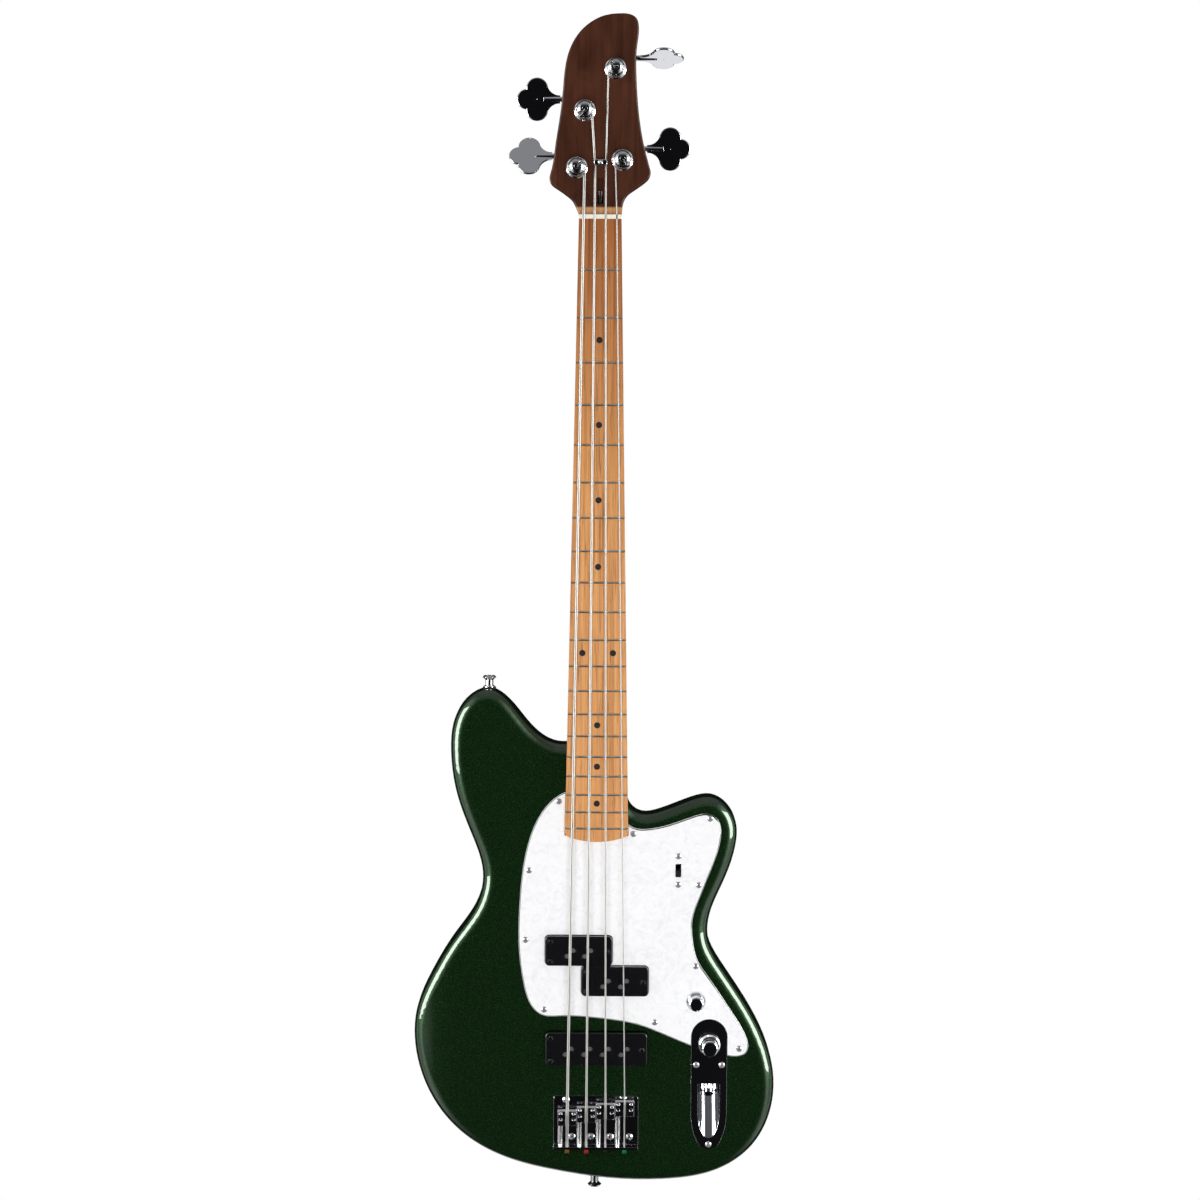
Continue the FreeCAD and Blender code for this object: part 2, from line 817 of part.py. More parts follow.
def neck_bolt_places():
    across = size.neck_plate_width / 2 - size.neck_bolt_inset
    along = size.neck_plate_length / 2 - size.neck_bolt_inset
    middle = tongue_top - size.neck_plate_drop
    return [(size.neck_plate_shift + i * across, middle + k * along) for i in (-1, 1) for k in (-1, 1)]


def control_plate_screw_places():
    reach = size.plate_screw_spread / 2
    return [
        (size.plate_x - reach, size.plate_screw_height), (size.plate_x + reach, size.plate_screw_height),
        (size.plate_x, size.plate_screw_low)]


def switch_screw_places():
    return [(size.switch_x, size.switch_height + k * size.switch_screw_reach) for k in (-1, 1)]


def bridge_screw_places():
    """A row behind the saddles and one more under each outer string."""
    count = len(STRINGS)
    rear = size.bridge_screw_height
    front = size.bridge_front_screw_height
    return [(string_x_at_bridge(n) + size.bridge_screw_shift, rear) for n in range(count)] + [
        (string_x_at_bridge(n) + size.bridge_front_screw_shift, front) for n in (0, count - 1)]


guard_screw_places = [body_place(shares) for shares in GUARD_SCREW_SHARES]
horn_seat = body_z(1) - size.horn_spot_depth
tail_seat = size.strap_button_height + size.strap_washer_thickness
horn_x = body_x(HORN_BUTTON_SHARE)


def make_body():
    body = new_body("body")
    points = [vec(*body_place(shares)) for shares in BODY_OUTLINE_SHARES]
    sketch = sketch_on(body, FRONT, level.body_back)
    sketch.addGeometry(spline(points, closed=True), False)
    pad(body, sketch, size.body_thickness)
    cut_forearm_contour(body)
    round_edges(body, size.body_edge_radius, is_curved)
    cut_body_routs(body)
    cut_body_screw_holes(body)
    return keep(body, "body")


def cut_forearm_contour(body):
    """The bass side of the front falls away along a wide arc where the player's forearm lies."""
    radius = float(size.forearm_radius)
    front = float(level.body_front)
    high = front + float(size.cut_overrun)
    line = float(body_x(FOREARM_LINE_SHARE))
    reach = float(size.forearm_reach)

    def fall(out):
        return vec(line - out, radius - math.sqrt(radius * radius - out * out) - front)

    corners = [fall(reach), vec(line - reach, -high), vec(line, -high), fall(0)]
    sketch = sketch_on(body, LEVEL, body_z(WAIST_SHARE))
    sketch.addGeometry(chain(corners) + [Part.Arc(corners[3], fall(reach / 2), corners[0])], False)
    pocket(body, sketch, body_z(WAIST_SHARE))


def front_rout(body, left, right, low, high, depth):
    sketch = sketch_on(body, FRONT, level.body_front + size.cut_overrun)
    rectangle(sketch, left, right, low, high)
    pocket(body, sketch, depth + size.cut_overrun)


def cut_body_routs(body):
    sketch = sketch_on(body, FRONT, level.body_front + size.cut_overrun)
    sketch.addGeometry(neck_end_curves(heel_top, size.neck_gap), False)
    pocket(body, sketch, size.neck_pocket_depth + size.cut_overrun)
    for x, z, cover_length, cover_width, _ in cover_places().values():
        sketch = sketch_on(body, FRONT, level.body_front + size.cut_overrun)
        cover_window(sketch, x, z, cover_length, cover_width)
        pocket(body, sketch, size.rout_depth + size.cut_overrun)
    half = size.control_rout_width / 2
    reach = size.pot_rout_reach
    front_rout(body, size.plate_x - half, size.plate_x + half, size.control_rout_bottom,
               size.volume_height - reach / 2, size.control_rout_depth)
    front_rout(body, size.volume_x - reach, size.volume_x + reach, size.volume_height - reach,
               size.volume_height + reach, size.control_rout_depth)
    half = size.switch_width / 2 + size.switch_wall
    reach = size.switch_flange_reach + size.switch_wall
    front_rout(body, size.switch_x - half, size.switch_x + half, size.switch_height - reach,
               size.switch_height + reach, size.rout_depth)
    widening = size.scoop_wall + size.scoop_gap
    sketch = scoop_sketch(body, -widening, widening)
    pocket(body, sketch, size.plate_length, reverse=True)


def cut_body_screw_holes(body):
    top = level.body_front + size.cut_overrun
    plate_places = guard_screw_places + control_plate_screw_places()
    drill(body, plate_places, size.plate_screw_shank + size.hole_gap, top,
          size.plate_screw_length + size.cut_overrun)
    drill(body, bridge_screw_places(), size.bridge_screw_shank + size.hole_gap, top,
          size.bridge_screw_length + size.cut_overrun)
    for x, z, cover_length, cover_width, _ in cover_places().values():
        drill(body, cover_screw_places(x, z, cover_length, cover_width),
              size.pickup_screw_shank + size.hole_gap, level.body_front - size.rout_depth + size.cut_overrun,
              size.pickup_screw_length - size.cover_depth)
    drill(body, neck_bolt_places(), size.neck_bolt_shank + size.hole_gap, level.body_front,
          size.body_thickness + size.cut_overrun)
    spot_radius = size.strap_washer_radius + size.hole_gap
    pilot = size.strap_screw_shank + size.hole_gap
    for x, seat, reverse in ((length(0), tail_seat, True), (horn_x, horn_seat, False)):
        direction = -1 if reverse else 1
        sketch = sketch_on(body, LEVEL, seat + direction * size.cut_overrun)
        disc(sketch, x, length(0), spot_radius)
        pocket(body, sketch, size.cut_overrun, reverse)
        sketch = sketch_on(body, LEVEL, seat + direction * size.cut_overrun)
        disc(sketch, x, length(0), pilot)
        pocket(body, sketch, size.strap_screw_length, reverse)


# Neck with headstock
def head_x(share):
    return share * size.head_width


def head_z(share):
    return nut_height + share * size.head_length


def post_place(string):
    across, along = POST_SHARES[string]
    return head_x(across), head_z(along)


def base_screw_places(string):
    x, z = post_place(string)
    across = size.base_width / 2 - size.base_screw_inset
    low = z - size.base_below + size.base_screw_inset
    high = z + size.base_above - size.base_screw_inset
    return [(x - across, low), (x + across, low), (x - across, high), (x + across, high)]


def shaft_section(body, height, depth):
    """Flat under the fretboard with a half-elliptical back."""
    sketch = sketch_on(body, LEVEL, height)
    half = float(neck_half_width(height))
    front = float(level.board_under)
    oval = Part.Ellipse(vec(0, -front), half, float(depth))
    back = Part.ArcOfEllipse(oval, 0, math.pi)
    sketch.addGeometry([back, Part.LineSegment(vec(-half, -front), vec(half, -front))], False)
    return sketch


def make_neck():
    body = new_body("neck")
    points = [vec(head_x(x), head_z(z)) for x, z in HEAD_OUTLINE_SHARES]
    sketch = sketch_on(body, FRONT, level.head_back)
    sketch.addGeometry([spline(points), Part.LineSegment(points[-1], points[0])], False)
    pad(body, sketch, size.headstock_thickness)
    front_edges = lies_at(level.head_front)
    back_edges = lies_at(level.head_back)
    round_edges(body, size.headstock_edge,
                lambda edge: (front_edges(edge) or back_edges(edge)) and edge.BoundBox.ZLength > CLOSE)
    loft = body.newObject("PartDesign::AdditiveLoft", "shaft")
    loft.Profile = shaft_section(body, nut_height, size.shaft_depth_nut)
    loft.Sections = [shaft_section(body, tongue_top, size.shaft_depth_heel)]
    loft.Ruled = True
    doc.recompute()
    sketch = sketch_on(body, FRONT, level.pocket_floor)
    sketch.addGeometry(neck_end_curves(heel_top, length(0)), False)
    pad(body, sketch, level.board_under - level.pocket_floor)
    round_edges(body, size.board_corner, is_board_corner)
    sketch = sketch_on(body, SIDE, 0)
    polygon(sketch, [
        (-level.board_under, nut_height - size.scoop_overlap),
        (-level.board_under, nut_height + size.scoop_start),
        (-level.head_front, nut_height + size.scoop_end),
        (size.scoop_root - level.head_front, nut_height + size.scoop_end),
        (size.scoop_root - level.head_front, nut_height - size.scoop_overlap)])
    pad(body, sketch, size.nut_width, both=True)
    cut_neck(body)
    return keep(body, "neck")


def cut_neck(body):
    half = size.rod_radius + size.rod_gap
    sketch = sketch_on(body, FRONT, level.board_under)
    rectangle(sketch, -half, half, nut_height - size.rod_length, nut_height)
    pocket(body, sketch, size.rod_depth + half)
    sketch = sketch_on(body, LEVEL, nut_height + size.rod_window_end)
    disc(sketch, length(0), -level.rod, half)
    pocket(body, sketch, size.rod_window_end + size.cut_overrun)
    sketch = sketch_on(body, FRONT, level.board_under)
    rectangle(sketch, -half, half, nut_height + size.rod_window_start, nut_height + size.rod_window_end)
    pocket(body, sketch, size.rod_depth)
    drill(body, [post_place(string) for string in STRINGS], size.bushing_sleeve + size.hole_gap,
          level.head_front + size.cut_overrun, size.headstock_thickness + 2 * size.cut_overrun)
    screws = [place for string in STRINGS for place in base_screw_places(string)]
    drill(body, screws, size.tuner_screw_shank + size.hole_gap, level.head_back,
          size.tuner_screw_length, reverse=True)
    drill(body, [(length(0), nut_height + size.retainer_height)], size.tuner_screw_shank + size.hole_gap,
          level.head_front, size.retainer_screw_length - size.retainer_level)
    drill(body, neck_bolt_places(), size.neck_bolt_shank + size.hole_gap, level.pocket_floor,
          size.neck_bolt_length - size.body_thickness + size.neck_pocket_depth, reverse=True)


def make_truss_rod():
    far_end = -size.rod_length + size.rod_gap
    near_end = (size.rod_window_start + size.rod_window_end) / 2
    rod = turned("truss_rod", [
        (length(0), far_end), (size.rod_radius, far_end), (size.rod_radius, near_end),
        (size.rod_socket_radius, near_end), (size.rod_socket_radius, near_end - size.rod_socket_depth),
        (length(0), near_end - size.rod_socket_depth)])
    place(rod, length(0), level.rod, nut_height, TO_TOP)
    keep(rod, "truss_rod")


# Fretboard, frets, dots and nut
crown_axis = level.board_top - size.fretboard_radius


def dot_places():
    def between(number):
        return (fret_height(number) + fret_height(number - 1)) / 2
    single = [(length(0), between(number)) for number in MARKED_FRETS]
    double = [(k * size.dot_spread, between(DOUBLE_MARKED_FRET)) for k in (-1, 1)]
    return single + double


def fret_slot_floor():
    """Deep enough for the tang at the board's lowest edge."""
    half = neck_half_width(neck_end)
    return level.board_top - half * half / (2 * size.fretboard_radius) - size.tang_depth - size.slot_floor_gap


def make_fretboard():
    body = new_body("fretboard")
    sketch = sketch_on(body, FRONT, level.board_under)
    sketch.addGeometry(neck_end_curves(nut_height, length(0)), False)
    pad(body, sketch, size.fretboard_thickness)
    round_edges(body, size.board_corner, is_board_corner)
    half = float(neck_half_width(neck_end) + size.cut_overrun)
    radius = float(size.fretboard_radius)
    edge_drop = radius - math.sqrt(radius * radius - half * half)
    top = float(level.board_top)
    high = float(level.board_top + size.cut_overrun)
    corners = [vec(half, edge_drop - top), vec(half, -high), vec(-half, -high), vec(-half, edge_drop - top)]
    sketch = sketch_on(body, LEVEL, nut_height + size.cut_overrun)
    sketch.addGeometry(chain(corners) + [Part.Arc(corners[3], vec(0, -top), corners[0])], False)
    pocket(body, sketch, nut_height - neck_end + size.board_end_bulge + 2 * size.cut_overrun)
    half_slot = size.tang_width / 2 + size.tang_gap
    sketch = sketch_on(body, FRONT, level.board_top + size.cut_overrun)
    for number in range(1, FRET_COUNT + 1):
        across = neck_half_width(fret_height(number)) + size.cut_overrun
        middle = fret_height(number)
        rectangle(sketch, -across, across, middle - half_slot, middle + half_slot)
    pocket(body, sketch, level.board_top + size.cut_overrun - fret_slot_floor())
    drill(body, dot_places(), size.dot_radius + size.tang_gap, level.board_top + size.cut_overrun,
          size.dot_depth + size.cut_overrun)
    return keep(body, "fretboard")


def make_frets():
    """Each fret is its crown and tang turned about the axis of the fretboard's radius."""
    base = level.board_top + size.seat_gap
    half = size.fret_width / 2
    tang = size.tang_width / 2
    root = base - size.tang_depth
    frets = []
    for number in range(1, FRET_COUNT + 1):
        z = fret_height(number)
        left = spot(0, base, z - half)
        right = spot(0, base, z + half)
        crown = Part.Arc(left, spot(0, base + size.fret_height, z), right)
        rest = chain([
            right, spot(0, base, z + tang), spot(0, root, z + tang), spot(0, root, z - tang),
            spot(0, base, z - tang), left])
        face = Part.Face(Part.Wire([edge.toShape() for edge in [crown] + rest]))
        axis = spot(0, crown_axis, 0)
        reach = float(neck_half_width(z) - size.fret_inset)
        angle = math.degrees(math.asin(reach / float(size.fretboard_radius)))
        face.rotate(axis, UP, -angle)
        frets.append(face.revolve(axis, UP, 2 * angle))
    feature = doc.addObject("Part::Feature", "frets")
    feature.Shape = Part.makeCompound(frets)
    keep(feature, "frets")


def make_dots():
    tall = float(nut_height)
    crown = Part.makeCylinder(float(size.fretboard_radius - size.seat_gap), tall, spot(0, crown_axis, 0), UP)
    dots = []
    for x, z in dot_places():
        start = spot(x, level.board_top - size.dot_depth + size.seat_gap, z)
        plug = Part.makeCylinder(float(size.dot_radius), float(size.dot_depth), start, FORWARD)
        dots.append(plug.common(crown))
    feature = doc.addObject("Part::Feature", "position_dots")
    feature.Shape = Part.makeCompound([dot.Solids[0] for dot in dots])
    keep(feature, "position_dots")


def crown_drop(x):
    """How far the fretboard's radius falls away at a place across."""
    return x * x / (2 * size.fretboard_radius)


def string_diameter(string):
    return getattr(size, f"string_diameter_{string}")


def string_under_nut(n):
    return level.fret_top + size.nut_action - crown_drop(string_x_at_nut(n))


def string_under_saddle(n):
    return level.fret_top + size.saddle_action - crown_drop(string_x_at_bridge(n))


def make_nut():
    body = new_body("nut")
    sketch = sketch_on(body, FRONT, level.board_under)
    half = size.nut_width / 2
    rectangle(sketch, -half, half, nut_height, nut_height + size.nut_thickness)
    pad(body, sketch, size.nut_height)
    sketch = sketch_on(body, LEVEL, nut_height + size.nut_thickness + size.cut_overrun)
    high = level.board_under + size.nut_height + size.cut_overrun
    for n, string in enumerate(STRINGS):
        reach = string_diameter(string) / 2 + size.string_gap
        x = string_x_at_nut(n)
        rectangle(sketch, x - reach, x + reach, -high, size.string_gap - string_under_nut(n))
    pocket(body, sketch, size.nut_thickness + 2 * size.cut_overrun)
    keep(body, "nut")


# Neck plate and bolts
def make_neck_joint():
    body = new_body("neck_plate")
    half = size.neck_plate_width / 2
    along = size.neck_plate_length / 2
    middle = tongue_top - size.neck_plate_drop
    sketch = sketch_on(body, FRONT, level.body_back - size.neck_plate_thickness)
    shift = size.neck_plate_shift
    rectangle(sketch, shift - half, shift + half, middle - along, middle + along)
    pad(body, sketch, size.neck_plate_thickness)
    round_edges(body, size.neck_plate_corner, runs_front_to_back)
    drill(body, neck_bolt_places(), size.neck_bolt_shank + size.hole_gap, level.body_back,
          size.neck_plate_thickness)
    keep(body, "neck_plate")
    bolt = screw("neck_bolt_pattern", size.neck_bolt_head, size.neck_bolt_head_height, size.neck_bolt_shank,
                 size.neck_bolt_length)
    seat = level.body_back - size.neck_plate_thickness
    group("neck_bolts", [(bolt, spot(x, seat, z), TO_BACK) for x, z in neck_bolt_places()])


# Pickguard and the screws of the front plates
def plate_outline(gap):
    """A round-topped plate whose sides draw in to a rounded lower tip."""
    radius = size.plate_width / 2 + gap
    tip = size.plate_top - size.plate_length
    centre = size.plate_top - size.plate_width / 2

    def corner(side, n):
        across, along = PLATE_TAPER_SHARES[n]
        return vec(size.plate_x + side * (across * size.plate_width + gap), tip + along * size.plate_length)

    left_top = vec(size.plate_x - radius, centre)
    right_top = vec(size.plate_x + radius, centre)
    return [
        Part.Arc(right_top, vec(size.plate_x, centre + radius), left_top),
        Part.LineSegment(left_top, corner(-1, 0)),
        Part.Arc(corner(-1, 0), corner(-1, 1), corner(-1, 2)),
        Part.Arc(corner(-1, 2), vec(size.plate_x, tip - gap), corner(1, 2)),
        Part.Arc(corner(1, 2), corner(1, 1), corner(1, 0)),
        Part.LineSegment(corner(1, 0), right_top)]


def make_pickguard():
    body = new_body("pickguard")
    left = [vec(*body_place(shares)) for shares in GUARD_LEFT_SHARES]
    right = [vec(*body_place(shares)) for shares in GUARD_RIGHT_SHARES]
    sketch = sketch_on(body, FRONT, level.body_front)
    sketch.addGeometry([
        spline(left), Part.LineSegment(left[-1], right[0]), spline(right),
        Part.LineSegment(right[-1], left[0])], False)
    pad(body, sketch, size.guard_thickness)
    top = level.guard_front
    front_edges = lies_at(top)
    bevel_edges(body, size.guard_bevel, lambda edge: front_edges(edge) and is_curved(edge))
    sketch = sketch_on(body, FRONT, top)
    sketch.addGeometry(neck_end_curves(heel_top, size.neck_gap), False)
    pocket(body, sketch, size.guard_thickness)
    sketch = sketch_on(body, FRONT, top)
    sketch.addGeometry(plate_outline(size.guard_gap), False)
    pocket(body, sketch, size.guard_thickness)
    for name, (x, z, cover_length, cover_width, _) in cover_places().items():
        if name != "bar_pickup_cover":
            sketch = sketch_on(body, FRONT, top)
            cover_window(sketch, x, z, cover_length, cover_width)
            pocket(body, sketch, size.guard_thickness)
    drill(body, [(size.volume_x, size.volume_height)], size.pot_bushing_radius + size.hole_gap, top,
          size.guard_thickness)
    drill(body, guard_screw_places + switch_screw_places(), size.plate_screw_shank + size.hole_gap, top,
          size.guard_thickness)
    sketch = sketch_on(body, FRONT, top)
    half = size.switch_slot_width / 2
    along = size.switch_slot_length / 2
    rectangle(sketch, size.switch_x - half, size.switch_x + half, size.switch_height - along,
              size.switch_height + along)
    pocket(body, sketch, size.guard_thickness)
    keep(body, "pickguard")
    plate_screw = screw("plate_screw_pattern", size.plate_screw_head, size.plate_screw_head_height,
                        size.plate_screw_shank, size.plate_screw_length)
    on_guard = [(x, top, z) for x, z in guard_screw_places + switch_screw_places()]
    on_plate = [(x, level.plate_front, z) for x, z in control_plate_screw_places()]
    group("plate_screws", [(plate_screw, spot(*where), TO_FRONT) for where in on_guard + on_plate])


# Pickups
def pole_places(z, served):
    """Two poles for each string, one each side of it on a slant."""
    low = z - size.pole_shift
    return [
        (string_x(n, low) + k * size.pole_offset, low + k * size.pole_offset)
        for n in served for k in (-1, 1)]


def make_pickup_cover(name, x, z, cover_length, cover_width, served):
    body = new_body(name)
    across = cover_length / 2
    along = cover_width / 2
    sketch = sketch_on(body, FRONT, level.cover_bottom)
    rectangle(sketch, x - across, x + across, z - along, z + along)
    pad(body, sketch, size.cover_depth)
    round_edges(body, size.cover_corner, runs_front_to_back)
    round_edges(body, size.cover_edge, lies_at(level.cover_top))
    inner_across = across - size.cover_wall
    inner_along = along - size.cover_wall
    sketch = sketch_on(body, FRONT, level.cover_bottom)
    rectangle(sketch, x - inner_across, x + inner_across, z - inner_along, z + inner_along)
    pocket(body, sketch, size.cover_depth - size.cover_top_wall, reverse=True)
    top = level.cover_top
    drill(body, pole_places(z, served), size.pole_radius + size.hole_gap, top, size.cover_top_wall)
    screws = cover_screw_places(x, z, cover_length, cover_width)
    drill(body, screws, size.pickup_screw_head + size.hole_gap, top, size.pickup_screw_head_height)
    drill(body, screws, size.pickup_screw_shank + size.hole_gap, top, size.cover_top_wall)
    keep(body, name)


def make_pickups():
    poles = []
    coils = []
    screws = []
    pickup_screw = screw("pickup_screw_pattern", size.pickup_screw_head, size.pickup_screw_head_height,
                         size.pickup_screw_shank, size.pickup_screw_length)
    pole_top = level.cover_top - size.pole_sink
    pole_length = size.cover_depth - size.pole_sink
    pole = turned("pole_pattern", [
        (length(0), -pole_length), (size.pole_radius, -pole_length), (size.pole_radius, length(0)),
        (length(0), length(0))])
    coil_depth = size.cover_depth - size.cover_top_wall - size.coil_gap
    for name, (x, z, cover_length, cover_width, served) in cover_places().items():
        make_pickup_cover(name, x, z, cover_length, cover_width, served)
        places = pole_places(z, served)
        poles += [(pole, spot(px, pole_top, pz), TO_FRONT) for px, pz in places]
        seat = level.cover_top - size.pickup_screw_head_height
        screws += [(pickup_screw, spot(sx, seat, sz), TO_FRONT)
                   for sx, sz in cover_screw_places(x, z, cover_length, cover_width)]
        long = float(cover_length - 2 * size.coil_end_gap)
        wide = float(size.coil_width)
        corner = spot(x - long / 2, level.cover_bottom + coil_depth, z - size.pole_shift - wide / 2)
        coil = Part.makeBox(long, float(coil_depth), wide, corner)
        for px, pz in places:
            start = spot(px, level.cover_bottom, pz)
            radius = float(size.pole_radius + size.hole_gap)
            coil = coil.cut(Part.makeCylinder(radius, float(coil_depth), start, FORWARD))
        coils.append(coil.Solids[0])
    group("pickup_pole_pieces", poles)
    group("pickup_screws", screws)
    feature = doc.addObject("Part::Feature", "pickup_coils")
    feature.Shape = Part.makeCompound(coils)
    keep(feature, "pickup_coils")


# Control plate, jack, pots and knobs. The jack's contacts face this many degrees round from its side.
JACK_TURN = 17.0
JACK_NUT_RIBS = 24


def make_control_plate():
    body = new_body("control_plate")
    sketch = sketch_on(body, FRONT, level.body_front)
    sketch.addGeometry(plate_outline(length(0)), False)
    pad(body, sketch, size.plate_thickness)
    pad(body, scoop_sketch(body, -size.scoop_wall, size.scoop_wall), size.plate_length)
    sketch = sketch_on(body, FRONT, level.plate_front + size.plate_length)
    reach = size.plate_length
    rectangle(sketch, size.plate_x - reach, size.plate_x + reach, size.plate_top - 2 * reach,
              size.plate_top + reach)
    pocket(body, sketch, size.plate_length)
    pocket(body, scoop_sketch(body, length(0), length(0)), size.plate_length, reverse=True)
    sketch = slanted_sketch(body, length(0))
    disc(sketch, length(0), length(0), size.jack_barrel_radius + size.hole_gap)
    pocket(body, sketch, size.scoop_wall + size.hole_gap)
    drill(body, [(size.plate_x, size.stacked_height)], size.pot_bushing_radius + size.hole_gap,
          level.plate_front, size.plate_thickness)
    drill(body, control_plate_screw_places(), size.plate_screw_shank + size.hole_gap, level.plate_front,
          size.plate_thickness)
    keep(body, "control_plate")


def nut_pattern():
    """A hexagonal nut standing on height zero."""
    body = new_body("control_nut_pattern")
    sketch = sketch_on(body, LEVEL, 0)
    polygon(sketch, [
        (math.cos(math.radians(60 * n)) * size.nut_radius, math.sin(math.radians(60 * n)) * size.nut_radius)
        for n in range(6)])
    pad(body, sketch, size.nut_depth)
    sketch = sketch_on(body, LEVEL, size.nut_depth)
    disc(sketch, length(0), length(0), size.pot_bushing_radius + size.running_gap)
    pocket(body, sketch, size.nut_depth)
    return body


def jack_nut_pattern():
    """A round nut with ribs all round, standing on height zero."""
    body = new_body("jack_nut_pattern")
    sketch = sketch_on(body, LEVEL, 0)
    corners = []
    for n in range(2 * JACK_NUT_RIBS):
        angle = math.pi * n / JACK_NUT_RIBS
        radius = size.jack_nut_radius - (n % 2) * size.jack_nut_rib
        corners.append((math.cos(angle) * radius, math.sin(angle) * radius))
    polygon(sketch, corners)
    pad(body, sketch, size.jack_nut_depth)
    sketch = sketch_on(body, LEVEL, size.jack_nut_depth)
    disc(sketch, length(0), length(0), size.jack_barrel_radius + size.running_gap)
    pocket(body, sketch, size.jack_nut_depth)
    return body


def pot_pattern(label, bore, seat):
    """A pot's can behind its panel and its threaded bushing through it, about height zero."""
    thread_top = seat + size.pot_bushing_reach
    return turned(label, [
        (bore, -size.pot_can_depth / 2), (bore, thread_top), (size.pot_bushing_radius, thread_top),
        (size.pot_bushing_radius, length(0)), (size.pot_can_radius, length(0)),
        (size.pot_can_radius, -size.pot_can_depth), (length(0), -size.pot_can_depth),
        (length(0), -size.pot_can_depth / 2)])


def make_jack(slant):
    front, height = control_axis_point(length(0))
    back = -size.scoop_wall
    shoulder = back - size.jack_flange_thickness
    end = shoulder - size.jack_housing_length
    blind = end + size.jack_flange_thickness
    jack = turned("output_jack", [
        (size.jack_bore_radius, blind), (size.jack_bore_radius, size.jack_reach),
        (size.jack_barrel_radius, size.jack_reach), (size.jack_barrel_radius, back),
        (size.jack_flange_radius, back), (size.jack_flange_radius, shoulder),
        (size.jack_housing_radius, shoulder), (size.jack_housing_radius, end), (length(0), end),
        (length(0), blind)])
    place(jack, size.plate_x, front, height, slant)
    keep(jack, "output_jack")


def make_controls():
    make_control_plate()
    angle = math.radians(float(size.scoop_angle))
    outwards = FreeCAD.Vector(0, -math.sin(angle), -math.cos(angle))
    slant = FreeCAD.Rotation(UP, outwards)
    make_jack(slant.multiply(FreeCAD.Rotation(UP, JACK_TURN)))
    front, height = control_axis_point(length(0))
    volume_spot = spot(size.volume_x, level.guard_front, size.volume_height)
    stacked_spot = spot(size.plate_x, level.plate_front, size.stacked_height)
    nut = nut_pattern()
    group("control_nuts", [
        (nut, volume_spot, TO_FRONT), (nut, stacked_spot, TO_FRONT),
        (jack_nut_pattern(), spot(size.plate_x, front, height), slant)])
    single = pot_pattern("volume_pot_pattern", size.shaft_radius + size.running_gap, size.guard_thickness)
    stacked = pot_pattern("stacked_pot_pattern", size.outer_shaft_radius + size.running_gap,
                          size.plate_thickness)
    group("potentiometers", [
        (single, spot(size.volume_x, level.body_front, size.volume_height), TO_FRONT),
        (stacked, spot(size.plate_x, level.body_front, size.stacked_height), TO_FRONT)])
    make_volume_knob()
    make_stacked_knobs()


def make_shaft(label, bore, radius, x, low, high, z):
    shaft = turned(label, [(bore, low), (radius, low), (radius, high), (bore, high)])
    place(shaft, x, length(0), z, TO_FRONT)
    keep(shaft, label)


def make_volume_knob():
    low = level.guard_front + size.knob_gap
    high = low + size.volume_knob_height
    recess = low + size.knob_recess_depth
    bore = size.shaft_radius + size.running_gap
    bore_top = high - size.shaft_radius
    skirt_share, waist_share = 0.16, 0.30
    tall = size.volume_knob_height
    knob = turned("volume_knob", [
        (size.knob_recess_radius, low), (size.volume_knob_skirt, low),
        (size.volume_knob_skirt, low + skirt_share * tall),
        (size.volume_knob_radius, low + waist_share * tall), (size.volume_knob_radius, high),
        (length(0), high), (length(0), bore_top), (bore, bore_top), (bore, recess),
        (size.knob_recess_radius, recess)])
    round_edges(knob, size.knob_round, circles_at(high))
    place(knob, size.volume_x, length(0), size.volume_height, TO_FRONT)
    keep(knob, "volume_knob")
    shaft_low = level.body_front - size.pot_can_depth / 2 + size.running_gap
    make_shaft("volume_shaft", length(0), size.shaft_radius, size.volume_x, shaft_low,
               bore_top - size.running_gap, size.volume_height)


def make_stacked_knobs():
    x, z = size.plate_x, size.stacked_height
    low = level.plate_front + size.knob_gap
    recess = low + size.knob_recess_depth
    ring_top = low + size.ring_knob_height
    ring_bore = size.outer_shaft_radius + size.running_gap
    bevel_share, shoulder_share = 0.86, 0.72
    ring = turned("stacked_knob_ring", [
        (size.knob_recess_radius, low), (size.ring_knob_radius, low),
        (size.ring_knob_radius, low + shoulder_share * size.ring_knob_height),
        (bevel_share * size.ring_knob_radius, ring_top), (ring_bore, ring_top), (ring_bore, recess),
        (size.knob_recess_radius, recess)])
    place(ring, x, length(0), z, TO_FRONT)
    keep(ring, "stacked_knob_ring")
    top_low = ring_top + size.knob_gap
    top_high = top_low + size.top_knob_height
    bore = size.shaft_radius + size.running_gap
    bore_top = top_high - size.shaft_radius
    top = turned("stacked_knob_top", [
        (bore, top_low), (size.top_knob_radius, top_low), (size.top_knob_radius, top_high),
        (length(0), top_high), (length(0), bore_top), (bore, bore_top)])
    round_edges(top, size.knob_round, circles_at(top_high))
    place(top, x, length(0), z, TO_FRONT)
    keep(top, "stacked_knob_top")
    shaft_low = level.body_front - size.pot_can_depth / 2 + size.running_gap
    make_shaft("stacked_outer_shaft", bore, size.outer_shaft_radius, x, shaft_low, ring_top, z)
    make_shaft("stacked_inner_shaft", length(0), size.shaft_radius, x, shaft_low,
               bore_top - size.running_gap, z)


